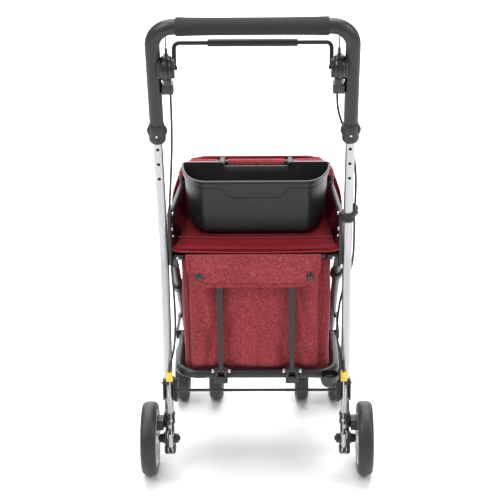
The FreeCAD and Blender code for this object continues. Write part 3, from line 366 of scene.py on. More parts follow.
@dataclass(frozen=True)
class Finish:
    """One material with its pattern.

    Attributes:
        name: the material's name.
        slot: the record's material slot it belongs to.
        colour: main colour.
        second: colour of the lighter or worn places.
        surface: which pattern it carries.
        roughness: roughness of the even surface.
        metallic: 1 for bare metal.
        size: cells or threads per metre of the fine pattern.
        bump: depth of the fine pattern, in millimetres.
        scuffs: how strongly it is rubbed.
        coat: weight of a clear coat.
        sheen: weight of cloth sheen.
        melange: how much the yarns differ.
    """

    name: str
    slot: str
    colour: tuple[float, float, float]
    second: tuple[float, float, float]
    surface: Surface = Surface.MOULDED
    roughness: float = 0.5
    metallic: float = 0.0
    size: float = 900.0
    bump: float = 0.05
    scuffs: float = 0.2
    coat: float = 0.0
    sheen: float = 0.0
    melange: float = 1.0

    def material(self) -> bpy.types.Material:
        """The Blender material, built the first time that it is asked for."""
        if self.name in bpy.data.materials:
            return bpy.data.materials[self.name]
        material = bpy.data.materials.new(self.name)
        material.use_nodes = True
        bench = NodeBench(material.node_tree)
        shader = bench.tree.nodes["Principled BSDF"]
        place = bench.add("TexCoord").outputs["Object"]
        group = WEAVE if self.surface is Surface.WOVEN else GRAIN
        pattern = bench.add("Group", node_tree=group.tree())
        bench.feed(pattern.inputs["Vector"], self.pattern_space(bench, place))
        if self.surface is Surface.WOVEN:
            pattern.inputs["Threads"].default_value = self.size
            pattern.inputs["Melange"].default_value = self.melange
        else:
            pattern.inputs["Size"].default_value = self.size
        rubbed = bench.add("Group", {"Vector": place, "Amount": self.scuffs}, node_tree=SCUFFS.tree())
        even = bench.mix(pattern.outputs["Shade"], (*self.colour, 1.0), (*self.second, 1.0))
        pale = tuple(min(1.0, c * 1.5 + 0.06) for c in self.second)
        bench.feed(shader.inputs["Base Color"], bench.mix(rubbed.outputs["Mask"], even, (*pale, 1.0)))
        drift = bench.math("MULTIPLY", bench.math("SUBTRACT", pattern.outputs["Shade"], 0.5), 0.12)
        rough = bench.math("ADD", drift, self.roughness)
        dulled = bench.math("MULTIPLY", rubbed.outputs["Mask"], 0.15)
        bench.feed(shader.inputs["Roughness"], bench.math("ADD", rough, dulled))
        relief = bench.add("Bump", {"Strength": 0.6, "Distance": self.bump * MM, "Height": pattern.outputs["Height"]})
        bench.feed(shader.inputs["Normal"], relief.outputs[0])
        shader.inputs["Metallic"].default_value = self.metallic
        shader.inputs["Specular IOR Level"].default_value = 0.15 if self.surface is Surface.WOVEN else 0.5
        shader.inputs["Coat Weight"].default_value = self.coat
        shader.inputs["Coat Roughness"].default_value = 0.12
        shader.inputs["Sheen Weight"].default_value = self.sheen
        return material

    def pattern_space(self, bench: NodeBench, place: bpy.types.NodeSocket) -> bpy.types.NodeSocket:
        """The coordinates of the fine pattern: drawn metal has it stretched along its height."""
        if self.surface is Surface.DRAWN:
            return bench.stretched(place, (1.0, 1.0, 0.03))
        return place


@dataclass(frozen=True)
class FinishSet:
    """Every finish of the walker."""

    tube: Finish = Finish("satin drawn aluminium", "aluminium_tube", (0.40, 0.41, 0.42), (0.52, 0.53, 0.54),
                          Surface.DRAWN, 0.36, 1.0, 1400.0, 0.02, 0.15)
    black_tube: Finish = Finish("gloss black paint", "black_metal", (0.006, 0.0065, 0.0075), (0.011, 0.0115, 0.0135),
                                Surface.MOULDED, 0.40, 0.0, 500.0, 0.02, 0.18, coat=0.1)
    moulded: Finish = Finish("black moulded plastic", "black_plastic", (0.005, 0.005, 0.006), (0.01, 0.01, 0.012),
                             Surface.MOULDED, 0.44, 0.0, 1300.0, 0.05, 0.2)
    gloss: Finish = Finish("glossy moulded plastic", "black_plastic", (0.004, 0.004, 0.005), (0.008, 0.008, 0.0095),
                           Surface.MOULDED, 0.30, 0.0, 1500.0, 0.03, 0.2, coat=0.25)
    cover: Finish = Finish("dark satin cover", "black_plastic", (0.013, 0.013, 0.015), (0.018, 0.018, 0.021),
                           Surface.MOULDED, 0.40, 0.0, 1500.0, 0.05, 0.12)
    basket: Finish = Finish("basket plastic", "basket_plastic", (0.011, 0.0115, 0.0125), (0.016, 0.017, 0.018),
                            Surface.MOULDED, 0.42, 0.0, 1500.0, 0.05, 0.2)
    # Painted highlight: the pale colour stands for light reflected by the flat top of the basket's far rim.
    strip: Finish = Finish("painted rim highlight", "basket_plastic", (0.20, 0.205, 0.21), (0.28, 0.285, 0.29),
                           Surface.MOULDED, 0.35, 0.0, 1500.0, 0.03, 0.2)
    foam: Finish = Finish("grip foam", "foam", (0.017, 0.017, 0.019), (0.026, 0.026, 0.028),
                          Surface.MOULDED, 0.85, 0.0, 1100.0, 0.22, 0.0)
    sleeve: Finish = Finish("ribbed grip sleeve", "foam", (0.006, 0.006, 0.007), (0.013, 0.013, 0.015),
                            Surface.MOULDED, 0.5, 0.0, 700.0, 0.12, 0.1)
    steel: Finish = Finish("zinc plated steel", "bright_steel", (0.50, 0.50, 0.51), (0.64, 0.64, 0.65),
                           Surface.DRAWN, 0.24, 1.0, 900.0, 0.02, 0.25)
    gunmetal: Finish = Finish("gunmetal snap", "bright_steel", (0.035, 0.035, 0.040), (0.07, 0.07, 0.078),
                              Surface.MOULDED, 0.26, 0.9, 600.0, 0.02, 0.2)
    tyre: Finish = Finish("tyre rubber", "tyre_rubber", (0.013, 0.013, 0.014), (0.02, 0.02, 0.021),
                          Surface.MOULDED, 0.46, 0.0, 1100.0, 0.08, 0.2)
    rim: Finish = Finish("pale rim plastic", "rim_plastic", (0.62, 0.62, 0.63), (0.70, 0.70, 0.71),
                         Surface.MOULDED, 0.36, 0.0, 900.0, 0.03, 0.1)
    red: Finish = Finish("red melange cloth", "red_fabric", (0.140, 0.010, 0.015), (0.40, 0.070, 0.080),
                         Surface.WOVEN, 0.9, 0.0, 1500.0, 0.22, 0.0, sheen=0.06)
    flap: Finish = Finish("bright red melange cloth", "red_fabric", (0.15, 0.012, 0.018), (0.4, 0.075, 0.085),
                          Surface.WOVEN, 0.9, 0.0, 1500.0, 0.22, 0.0, sheen=0.06)
    # Painted shade: a darker copy of the red cloth, for the seat, the arch panel and the side gussets, which lie in
    # shade.
    dark_red: Finish = Finish("red cloth darkened as painted shade", "dark_red_fabric", (0.085, 0.001, 0.004), (0.2, 0.006, 0.013),
                              Surface.WOVEN, 0.85, 0.0, 1500.0, 0.22, 0.0, sheen=0.03)
    piping: Finish = Finish("red piping", "red_fabric", (0.15, 0.008, 0.013), (0.3, 0.035, 0.042),
                            Surface.WOVEN, 0.7, 0.0, 2200.0, 0.12, 0.0, sheen=0.15, melange=0.6)
    thread: Finish = Finish("dark sewing thread", "red_fabric", (0.035, 0.003, 0.005), (0.08, 0.010, 0.013),
                            Surface.WOVEN, 0.8, 0.0, 3000.0, 0.05, 0.0)
    cable: Finish = Finish("cable sheath", "cable_sheath", (0.006, 0.006, 0.007), (0.012, 0.012, 0.014),
                           Surface.MOULDED, 0.36, 0.0, 900.0, 0.02, 0.1)
    band: Finish = Finish("band rubber", "band_rubber", (0.007, 0.007, 0.008), (0.014, 0.014, 0.016),
                          Surface.MOULDED, 0.5, 0.0, 900.0, 0.1, 0.1)
    yellow: Finish = Finish("yellow plastic", "yellow_plastic", (0.80, 0.55, 0.035), (0.88, 0.66, 0.08),
                            Surface.MOULDED, 0.4, 0.0, 900.0, 0.03, 0.1)


FINISH = FinishSet()
SLOT_FINISH = {
    "aluminium_tube": FINISH.tube, "black_metal": FINISH.black_tube, "black_plastic": FINISH.moulded,
    "basket_plastic": FINISH.basket, "foam": FINISH.foam, "bright_steel": FINISH.steel,
    "rim_plastic": FINISH.rim, "tyre_rubber": FINISH.tyre, "red_fabric": FINISH.red,
    # The record's dark red slot takes the red cloth darkened as painted shade.
    "dark_red_fabric": FINISH.dark_red, "cable_sheath": FINISH.cable, "band_rubber": FINISH.band,
    "yellow_plastic": FINISH.yellow,
}


# ---- mesh tools ----


def object_from(name: str, shape: bmesh.types.BMesh, finish: Finish, smooth: bool = True) -> bpy.types.Object:
    """Turn a bmesh into a finished object at the origin.

    Args:
        name: the piece's name.
        shape: its bmesh, in metres in the row frame; it is freed.
        finish: what it is made of.
        smooth: shade it smooth, with edges sharper than 35 degrees kept.

    Returns:
        The new object.
    """
    bmesh.ops.remove_doubles(shape, verts=shape.verts, dist=1e-6)
    bmesh.ops.recalc_face_normals(shape, faces=shape.faces)
    mesh = bpy.data.meshes.new(name)
    shape.to_mesh(mesh)
    shape.free()
    piece = bpy.data.objects.new(name, mesh)
    bpy.context.scene.collection.objects.link(piece)
    if smooth:
        mesh.polygons.foreach_set("use_smooth", [True] * len(mesh.polygons))
        mesh.set_sharp_from_angle(angle=math.radians(35))
    mesh.materials.append(finish.material())
    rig.slot(piece, finish.slot)
    return piece


def mount(piece: bpy.types.Object, body: str, nodes: Iterable[str] = ()) -> bpy.types.Object:
    """Ride a piece on a body, let it stand for CAD nodes, and report it."""
    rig.ride(piece, body)
    names = list(nodes)
    if names:
        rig.replaces(piece, *names)
    LOG.info("%s rides on %s", piece.name, body)
    return piece


def add_modifier(piece: bpy.types.Object, kind: str, **settings: object) -> bpy.types.Modifier:
    """Add a modifier with the given settings."""
    modifier = piece.modifiers.new(kind.title(), kind)
    for name, value in settings.items():
        setattr(modifier, name, value)
    return modifier


def baked(piece: bpy.types.Object) -> bpy.types.Object:
    """Write the result of a piece's modifiers into its mesh."""
    graph = bpy.context.evaluated_depsgraph_get()
    mesh = bpy.data.meshes.new_from_object(piece.evaluated_get(graph), depsgraph=graph)
    piece.modifiers.clear()
    piece.data = mesh
    mesh.polygons.foreach_set("use_smooth", [True] * len(mesh.polygons))
    return piece


def soft_box(shape: bmesh.types.BMesh, low: Vector, high: Vector, radius: float,
             segments: int = 3) -> list[bmesh.types.BMVert]:
    """Add a box with rounded edges.

    Args:
        shape: the bmesh that it is added to.
        low: lowest corner.
        high: highest corner.
        radius: rounding of its edges, in metres.
        segments: facets of the rounding.

    Returns:
        The box's vertices.
    """
    made = bmesh.ops.create_cube(shape, size=1.0)["verts"]
    size = high - low
    bmesh.ops.scale(shape, verts=made, vec=size)
    bmesh.ops.translate(shape, verts=made, vec=(low + high) / 2)
    if radius > 0:
        edges = list({e for v in made for e in v.link_edges})
        result = bmesh.ops.bevel(shape, geom=edges, offset=radius, offset_type="OFFSET", segments=segments,
                                 profile=0.5, affect="EDGES", material=-1, clamp_overlap=True)
        faces = set(result["faces"]) | {f for e in made if e.is_valid for f in e.link_faces}
        made = list({v for f in faces for v in f.verts})
    return made


def lathe(shape: bmesh.types.BMesh, profile: Profile, centre: Vector, axis: Vector, steps: int = 48,
          closed: bool = False) -> list[bmesh.types.BMVert]:
    """Spin an outline round an axis.

    Args:
        shape: the bmesh that it is added to.
        profile: (distance along the axis, radius) in millimetres.
        centre: where the distances are counted from.
        axis: direction of the axis.
        steps: facets round the axis.
        closed: the outline joins its own start, as a ring's does; otherwise it runs from pole to pole.

    Returns:
        The new vertices.
    """
    turn = Vector((0, 0, 1)).rotation_difference(axis.normalized()).to_matrix()
    known = set(shape.verts)
    verts = [shape.verts.new(centre + turn @ Vector((max(r, 0.0) * MM, 0, d * MM))) for d, r in profile]
    edges = [shape.edges.new(pair) for pair in zip(verts, verts[1:])]
    if closed:
        edges.append(shape.edges.new((verts[-1], verts[0])))
    bmesh.ops.spin(shape, geom=verts + edges, cent=centre, axis=axis, dvec=(0, 0, 0), angle=math.tau,
                   steps=steps, use_merge=True, use_duplicate=False)
    made = [v for v in shape.verts if v not in known]
    bmesh.ops.remove_doubles(shape, verts=made, dist=2e-6)
    return [v for v in shape.verts if v not in known]


def ball(shape: bmesh.types.BMesh, centre: Vector, radii: Vector) -> list[bmesh.types.BMVert]:
    """Add an ellipsoid with the given radii, in metres."""
    made = bmesh.ops.create_uvsphere(shape, u_segments=24, v_segments=14, radius=1.0)["verts"]
    bmesh.ops.scale(shape, verts=made, vec=radii)
    bmesh.ops.translate(shape, verts=made, vec=centre)
    return made


def strand(name: str, routes: Sequence[Sequence[Vector]], radius: float, finish: Finish, closed: bool = False,
           facets: int = 4) -> bpy.types.Object:
    """A round cord, piping or wire along smooth routes, as a mesh.

    Args:
        name: the piece's name.
        routes: lists of points in the row frame, in metres.
        radius: of the cord, in metres.
        finish: what it is made of.
        closed: whether each route joins its own start.
        facets: curve resolution round the cord.

    Returns:
        The piece.
    """
    curve = bpy.data.curves.new(name, "CURVE")
    curve.dimensions = "3D"
    curve.bevel_depth = radius
    curve.bevel_resolution = facets
    curve.use_fill_caps = True
    curve.resolution_u = 4
    for points in routes:
        spline = curve.splines.new("NURBS")
        spline.points.add(len(points) - 1)
        for target, place in zip(spline.points, points):
            target.co = (*place, 1.0)
        spline.order_u = 3
        spline.use_endpoint_u = not closed
        spline.use_cyclic_u = closed
    return meshed(curve, name, finish)


def tube_along(name: str, routes: Sequence[Sequence[Vector]], radius: float, finish: Finish,
               swell: Sequence[Sequence[float]] | None = None) -> bpy.types.Object:
    """A round tube through every point of its routes.

    Args:
        name: the piece's name.
        routes: lists of points in the row frame, close together in the bends.
        radius: of the tube, in metres.
        finish: what it is made of.
        swell: a factor on the radius at each point.

    Returns:
        The piece.
    """
    curve = bpy.data.curves.new(name, "CURVE")
    curve.dimensions = "3D"
    curve.bevel_depth = radius
    curve.bevel_resolution = 10
    curve.use_fill_caps = True
    for n, points in enumerate(routes):
        spline = curve.splines.new("POLY")
        spline.points.add(len(points) - 1)
        factors = swell[n] if swell else [1.0] * len(points)
        for target, place, factor in zip(spline.points, points, factors):
            target.co = (*place, 1.0)
            target.radius = factor
    return meshed(curve, name, finish)


def meshed(curve: bpy.types.Curve, name: str, finish: Finish) -> bpy.types.Object:
    """Turn a bevelled curve into a mesh piece."""
    holder = bpy.data.objects.new(name, curve)
    bpy.context.scene.collection.objects.link(holder)
    graph = bpy.context.evaluated_depsgraph_get()
    mesh = bpy.data.meshes.new_from_object(holder.evaluated_get(graph), depsgraph=graph)
    bpy.data.objects.remove(holder)
    shape = bmesh.new()
    shape.from_mesh(mesh)
    bpy.data.meshes.remove(mesh)
    return object_from(name, shape, finish)


def stitches(name: str, routes: Sequence[Sequence[Vector]], finish: Finish, proud: Vector,
             pitch: float = 0.0042) -> bpy.types.Object:
    """Rows of sewing stitches that lie on a surface.

    Args:
        name: the piece's name.
        routes: lists of points in the row frame.
        finish: the thread.
        proud: offset that lifts the thread out of the cloth.
        pitch: distance from stitch to stitch, in metres.

    Returns:
        The piece.
    """
    shape = bmesh.new()
    for points in routes:
        for start, end in zip(points, points[1:]):
            run = end - start
            count = max(1, round(run.length / pitch))
            for n in range(count):
                made = bmesh.ops.create_cube(shape, size=1.0)["verts"]
                bmesh.ops.scale(shape, verts=made, vec=(0.00045, 0.00045, run.length / count * 0.72))
                turn = Vector((0, 0, 1)).rotation_difference(run.normalized()).to_matrix()
                bmesh.ops.rotate(shape, verts=made, cent=(0, 0, 0), matrix=turn)
                bmesh.ops.translate(shape, verts=made, vec=start + run * ((n + 0.5) / count) + proud)
    return object_from(name, shape, finish, smooth=False)


# ---- cloth ----


@dataclass
class Inflation:
    """A short cloth simulation that fills a padded piece.

    Attributes:
        voxel: size of the even mesh that is simulated, in metres.
        pressure: of the filling.
        cap: farthest that a point may move, in metres.
        frames: steps of the simulation.
    """

    voxel: float = 0.006
    pressure: float = 4.0
    cap: float = 0.006
    frames: int = 20

    def fill(self, piece: bpy.types.Object, pinned: Callable[[Vector], bool] | None = None,
             remesh: bool = True) -> bpy.types.Object:
        """Swell a piece and write the result into its mesh.

        Args:
            piece: a closed mesh, or an open one with pinned edges.
            pinned: says which points stay where they are.
            remesh: make the mesh even first.

        Returns:
            The same piece.
        """
        if remesh:
            add_modifier(piece, "REMESH", mode="VOXEL", voxel_size=self.voxel)
            material = piece.data.materials[0]
            baked(piece)
            piece.data.materials.clear()
            piece.data.materials.append(material)
        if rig.quick():
            return piece
        start = [v.co.copy() for v in piece.data.vertices]
        cloth = piece.modifiers.new("Cloth", "CLOTH")
        cloth.settings.use_pressure = True
        cloth.settings.uniform_pressure_force = self.pressure
        cloth.settings.quality = 5
        cloth.settings.tension_stiffness = 25
        cloth.settings.compression_stiffness = 25
        cloth.settings.bending_stiffness = 1.5
        cloth.settings.effector_weights.gravity = 0
        cloth.collision_settings.use_collision = False
        if pinned is not None:
            group = piece.vertex_groups.new(name="held")
            group.add([v.index for v in piece.data.vertices if pinned(v.co)], 1.0, "REPLACE")
            cloth.settings.vertex_group_mass = "held"
        scene = bpy.context.scene
        scene.frame_start = 1
        scene.frame_end = self.frames
        cloth.point_cache.frame_start = 1
        cloth.point_cache.frame_end = self.frames
        for frame in range(1, self.frames + 1):
            scene.frame_set(frame)
        graph = bpy.context.evaluated_depsgraph_get()
        swollen = [v.co.copy() for v in piece.evaluated_get(graph).data.vertices]
        piece.modifiers.clear()
        for vertex, before, after in zip(piece.data.vertices, start, swollen):
            move = after - before
            vertex.co = before + move * min(1.0, self.cap / max(move.length, 1e-9))
        piece.vertex_groups.clear()
        scene.frame_set(1)
        return piece


def reshape(piece: bpy.types.Object, shaper: Shaper) -> bpy.types.Object:
    """Move every vertex of a piece by a rule."""
    for vertex in piece.data.vertices:
        vertex.co = shaper(vertex.co.copy())
    piece.data.update()
    return piece


def fitted(piece: bpy.types.Object, low: Vector, high: Vector) -> bpy.types.Object:
    """Stretch a piece evenly so that it fills a box again after the cloth has pulled in."""
    places = [v.co.copy() for v in piece.data.vertices]
    now_low = Vector(min(p[n] for p in places) for n in range(3))
    now_high = Vector(max(p[n] for p in places) for n in range(3))

    def stretch(place: Vector) -> Vector:
        return Vector(
            low[n] + (place[n] - now_low[n]) * (high[n] - low[n]) / (now_high[n] - now_low[n]) for n in range(3)
        )

    return reshape(piece, stretch)


def sheet_grid(columns: int, rows: int, place: Callable[[float, float], Vector]) -> bmesh.types.BMesh:
    """A grid whose points are placed by two shares from 0 to 1."""
    shape = bmesh.new()
    made = bmesh.ops.create_grid(shape, x_segments=columns, y_segments=rows, size=0.5)["verts"]
    for vertex in made:
        vertex.co = place(vertex.co.x + 0.5, vertex.co.y + 0.5)
    return shape


# ---- seat ----


@dataclass
class Seat:
    """The padded seat: a raised rear lip, a hollow, a sewn fold line and a flatter front part.

    Sizes are in millimetres, and lengths along the seat are counted from the rear axle.

    Attributes:
        half: half its width at the front.
        rear_half: half its width at the lip.
        fold_y: where the fold line is sewn across.
        inset: how much smaller the simulated block is than the finished pad.
    """

    half: float = 166.0
    rear_half: float = 175.0
    front_taper: float = 7.5
    back: float = -18.5
    front: float = 176.0
    bottom: float = 512.0
    top: float = 531.0
    fold_y: float = 37.0
    inset: float = 4.0

    def build(self) -> None:
        """Make the cushion, its piping, its stitching and the clips under its rear corners."""
        low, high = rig.box("seat_cushion")
        gap = Vector((self.inset, self.inset, self.inset * 0.7)) * MM
        shape = bmesh.new()
        soft_box(shape, low + gap, high - gap, 0.0)
        upright = [e for e in shape.edges if abs((e.verts[0].co - e.verts[1].co).z) > 0.005]
        bmesh.ops.bevel(shape, geom=upright, offset=0.024, segments=6, profile=0.5, affect="EDGES", material=-1)
        # Painted shade: the cushion takes the darkened red, for the shade of its hollow and of the basket above it.
        cushion = object_from("seat_cushion_cloth", shape, FINISH.dark_red)
        Inflation(voxel=0.0055, pressure=4.0, cap=0.006).fill(cushion)
        side = Vector((self.half * MM, 0, 0))
        fitted(cushion, Vector((0, low.y, low.z + 0.001)) - side, Vector((0, high.y, high.z)) + side)
        reshape(cushion, self.settle)
        add_modifier(cushion, "SUBSURF", levels=1, render_levels=1)
        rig.padded(cushion, fill=0.6)
        mount(cushion, "seat", ["seat_cushion"])
        self.trim()
        self.clips()

    def lift(self, x: float, y: float) -> float:
        """How far the upper side stands over its usual height at a place, in millimetres."""
        side = min(1.0, abs(x) / self.rear_half)
        near = smooth_step(self.fold_y + 10, self.back, y)
        ends = 5.5 * side ** 5 * near
        hollow = -10.5 * bell(y, 11.0, 14.0) * (1 - 0.75 * side ** 6)
        fold = -3.0 * bell(y, self.fold_y + 4.5, 4.0)
        far = -2.0 * bell(y, 80, 45) * (1 - side ** 4)
        return ends + hollow + fold + far

    def half_at(self, y: float) -> float:
        """Half the cushion's width at a distance from the axle."""
        lip = (self.rear_half - self.half) * smooth_step(22, -4, y)
        return self.half + lip - self.front_taper * smooth_step(18, 62, y)

    def settle(self, place: Vector) -> Vector:
        """Press the hollow in, lift the rear corners, widen the lip and flatten the underside."""
        x, y = place.x / MM, (place.y - AXLE_Y) / MM
        upper = smooth_step(self.bottom + 3, self.top - 3, place.z / MM)
        place.z += self.lift(x, y) * MM * upper
        place.x *= self.half_at(y) / self.half
        place.z = max(place.z, self.bottom * MM)
        return place

    def edge_loop(self, z: float, inward: float) -> list[Vector]:
        """Points round the cushion at a height, moved inwards."""
        back, front = self.back + inward, self.front - inward
        right = [
            (self.rear_half - 30, back), (self.rear_half - 9, back + 4), (self.rear_half - 2, back + 14),
            *((self.half_at(y) - inward, y) for y in (10.0, 40.0, 66.0, 120.0, front - 20)),
            (self.half_at(front) - 5, front - 5), (self.half_at(front) - 22, front),
        ]
        rising = [at(x, y, z + max(0.0, self.lift(x, y)) * 0.9) for x, y in right]
        left = [Vector((-p.x, p.y, p.z)) for p in reversed(rising)]
        return [at(0, back, z), *rising, at(0, front, z), *left]

    def trim(self) -> None:
        """Piping round the cushion and along the fold line, and stitches beside it."""
        loops = [self.edge_loop(self.bottom + 6.5, 0.6)]
        mount(strand("seat_piping", loops, 0.0016, FINISH.piping, closed=True), "seat")
        across = (-161, -120, -80, -40, 0, 40, 80, 120, 161)
        ridge = [at(x, self.fold_y, self.top - 0.6 + 2.2 * abs(x / 166) ** 4) for x in across]
        mount(strand("seat_fold_piping", [ridge], 0.0014, FINISH.piping), "seat")
        row = [at(x * 0.97, self.fold_y + 9, self.top - 1.2) for x in across]
        mount(stitches("seat_stitches", [row], FINISH.thread, Vector((0, 0, 0.0004))), "seat")

    def clips(self) -> None:
        """Black clips with a bright rivet under the rear corners."""
        clips, rivets = bmesh.new(), bmesh.new()
        for side in (-1, 1):
            low, high = sorted((side * 146.0, side * 168.0))
            soft_box(clips, at(low, -15, 501), at(high, 2, 512.5), 0.003)
            rivet = [(0, 0), (0, 3.0), (1.0, 2.8), (1.8, 1.6), (2.0, 0)]
            lathe(rivets, rivet, at(side * 160, -15, 506.5), Vector((0, -1, 0)), 20)
        mount(object_from("seat_corner_clips", clips, FINISH.moulded), "seat")
        mount(object_from("seat_corner_rivets", rivets, FINISH.steel), "seat")


# ---- bag ----


@dataclass
class Crease:
    """A valley pressed into cloth along a straight line, in millimetres across and up."""

    x0: float
    z0: float
    x1: float
    z1: float
    depth: float
    width: float

    def at(self, x: float, z: float) -> float:
        """Depth of the valley at a place."""
        run = Vector((self.x1 - self.x0, self.z1 - self.z0))
        share = (Vector((x - self.x0, z - self.z0)).dot(run)) / run.length_squared
        near = Vector((self.x0, self.z0)) + run * min(1.0, max(0.0, share))
        return self.depth * bell((Vector((x, z)) - near).length, 0.0, self.width)


POCKET_CREASES = (
    Crease(88, 440, 112, 320, 4.5, 7.0), Crease(-122, 430, -96, 300, 3.0, 9.0), Crease(2, 232, 6, 330, 4.0, 7.0),
    Crease(-86, 345, -108, 240, 5.0, 9.0), Crease(-62, 262, -14, 240, 3.5, 6.0), Crease(52, 300, 66, 240, 3.5, 8.0),
    Crease(24, 420, 60, 440, 2.0, 9.0), Crease(100, 300, 126, 236, 3.0, 8.0), Crease(-40, 400, -66, 330, 2.2, 9.0),
)
FLAP_CREASES = (
    Crease(-20, 508, -2, 492, 2.6, 5.0), Crease(-76, 480, -30, 466, 2.0, 6.0), Crease(-132, 492, -116, 500, 2.2, 5.0),
    Crease(40, 470, 96, 478, 1.4, 8.0),
)


@dataclass
class Bag:
    """The shopping bag with its rear pocket, flap and snaps."""

    half: float = 156.0
    back: float = 20.0
    bottom: float = 229.0
    top: float = 490.0
    corner: float = 13.0
    fold_axis: tuple[float, float, float] = (0.0, 0.88, 0.47)
    pocket_left: float = -143.0
    pocket_right: float = 133.0
    strut_x: float = 75.0
    flap_left: float = -143.0
    flap_right: float = 134.0
    flap_low: float = 444.0
    flap_top: float = 516.0
    flap_corner: float = 50.0
    flap_y: float = -22.0

    def build(self) -> None:
        """Make every cloth piece of the bag."""
        self.walls()
        self.pocket()
        self.flap()
        self.snaps()
        self.trim()

    def squashed(self, piece: bpy.types.Object, nodes: Iterable[str] = ()) -> bpy.types.Object:
        """Let a bag piece collapse as the frame folds."""
        mount(piece, "frame", nodes)
        anchor = at(0, 60, 330)
        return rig.squash(piece, "front_fold", axis=self.fold_axis, anchor=tuple(anchor), keep=0.15)

    def front_y(self, z: float) -> float:
        """How far forward the bag reaches at a height."""
        if z < 262:
            return 272 + 14 * (z - self.bottom) / (262 - self.bottom)
        return 286 - 62 * (z - 262) / (self.top - 262)

    def wall_point(self, turn: float, share: float) -> Vector:
        """A point of the bag's skin: once round it, and from its bottom to its top.

        Args:
            turn: 0 to 1, from the middle of the rear wall to the right.
            share: 0 at the bottom, 1 at the rim.

        Returns:
            The point in the row frame.
        """
        z = self.bottom + (self.top - self.bottom) * share
        narrow = 2.5 * (1 - smooth_step(0.05, 0.6, share)) + 3.0 * (1 - smooth_step(0.0, 0.05, share))
        half, back, front = self.half - narrow, self.back + narrow * 0.4, self.front_y(z) - narrow
        depth = front - back
        side = 1 if turn < 0.5 else -1
        run = (turn if turn < 0.5 else 1 - turn) * 2 * (2 * half + depth)
        if run < half:
            x, y = run, back
        elif run < half + depth:
            x, y = half, back + run - half
        else:
            x, y = half - (run - half - depth), front
        r = self.corner
        for corner_y, inward in ((back, 1), (front, -1)):
            dx, dy = half - x, (y - corner_y) * inward
            if dx < r and dy < r:
                angle = math.atan2(dx - r, dy - r)
                x, y = half - r - r * math.sin(angle), corner_y + inward * (r + r * math.cos(angle))
        return at(side * x, y, z)

    def walls(self) -> None:
        """The bag's skin: one sheet round, filled out and given its thickness."""
        shape = bmesh.new()
        ring = bmesh.ops.create_circle(shape, cap_ends=True, segments=180, radius=1.0)["verts"]
        order = sorted(ring, key=lambda v: math.atan2(v.co.y, v.co.x))
        turns = [n / len(order) for n in range(len(order))]
        floor = list(shape.faces)
        edges = list(shape.edges)
        levels = 34
        for vertex, turn in zip(order, turns):
            vertex.co = self.wall_point(turn, 0.0)
        for n in range(1, levels + 1):
            order, edges = raise_ring(shape, order, edges)
            for vertex, turn in zip(order, turns):
                vertex.co = self.wall_point(turn, n / levels)
        bmesh.ops.inset_region(shape, faces=floor, thickness=0.02, use_even_offset=True)
        bag = object_from("bag_cloth", shape, FINISH.red)
        rim = self.top * MM - 0.004
        Inflation(pressure=1.2, cap=0.005).fill(bag, lambda p: p.z > rim or p.z < 0.233, remesh=False)
        reshape(bag, self.crumple)
        add_modifier(bag, "SOLIDIFY", thickness=0.0022, offset=-1.0)
        add_modifier(bag, "SUBSURF", levels=1, render_levels=1)
        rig.padded(bag, fill=0.2)
        self.squashed(bag, ["bag"])

    def crumple(self, place: Vector) -> Vector:
        """Slow slack folds that keep off the frame."""
        ripple = noise.noise(Vector((place.x * 14, place.y * 12, place.z * 7)))
        height = smooth_step(0.232, 0.27, place.z) * smooth_step(0.49, 0.45, place.z)
        middle = (self.back + self.front_y(place.z / MM)) / 2
        inward = Vector((-place.x, middle * MM + AXLE_Y - place.y, 0)).normalized()
        return place + inward * (0.0015 + 0.0045 * ripple) * height

    def lane_depth(self, x: float) -> float:
        """Bulge of the three lanes that the struts divide the pocket into."""
        edges = (self.pocket_left, -self.strut_x, self.strut_x, self.pocket_right)
        for left, right, depth in zip(edges, edges[1:], (12.0, 15.0, 11.0)):
            if left <= x <= right:
                return 9.0 + depth * math.sin(math.pi * (x - left) / (right - left)) ** 0.55
        return 9.0

    def pocket_depth(self, x: float, z: float) -> float:
        """How far the pocket stands out behind the bag, in millimetres."""
        across = smooth_step(self.pocket_left, self.pocket_left + 12, x)
        across *= smooth_step(self.pocket_right, self.pocket_right - 12, x)
        up = smooth_step(self.bottom + 4, self.bottom + 34, z)
        lean = 0.35 * (z - 330) / 100
        folds = noise.noise(Vector((x * 0.02 + lean, z * 0.006, 3.1))) * 4.0
        fine = noise.noise(Vector((x * 0.06 - lean, z * 0.018, 9.7))) * 1.2
        pressed = sum(crease.at(x, z) for crease in POCKET_CREASES)
        return (self.lane_depth(x) + folds + fine - pressed * 1.3) * across * up + 0.6

    def pocket(self) -> None:
        """The rear pocket, pressed in beside the struts."""
        low, high = self.bottom + 4, 492.0

        def place(u: float, v: float) -> Vector:
            x = self.pocket_left + (self.pocket_right - self.pocket_left) * u
            z = low + (high - low) * v
            return at(x, self.back - 0.4 - self.pocket_depth(x, z), z)

        pocket = object_from("rear_pocket", sheet_grid(130, 110, place), FINISH.red)
        add_modifier(pocket, "SOLIDIFY", thickness=0.0016, offset=0.0)
        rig.padded(pocket, fill=0.15)
        self.squashed(pocket)

    def flap_surface(self, x: float, z: float) -> Vector:
        """A point of the flap's middle surface."""
        low_part = smooth_step(self.flap_top - 8, self.flap_low, z)
        wave = noise.noise(Vector((x * 0.016, z * 0.03, 5.0))) * 1.8 * low_part
        pressed = sum(crease.at(x, z) for crease in FLAP_CREASES)
        return at(x, self.flap_y - 1.4 * low_part + wave + pressed * 0.6, z)

    def flap(self) -> None:
        """The flap over the pocket, its stitched border and its binding."""

        def place(u: float, v: float) -> Vector:
            height = v ** 1.4
            z = self.flap_low + (self.flap_top - self.flap_low) * height
            lift = max(0.0, self.flap_corner - (z - self.flap_low))
            pull = self.flap_corner - math.sqrt(max(0.0, self.flap_corner ** 2 - lift ** 2))
            left, right = self.flap_left + pull, self.flap_right - pull
            return self.flap_surface(left + (right - left) * u, z)

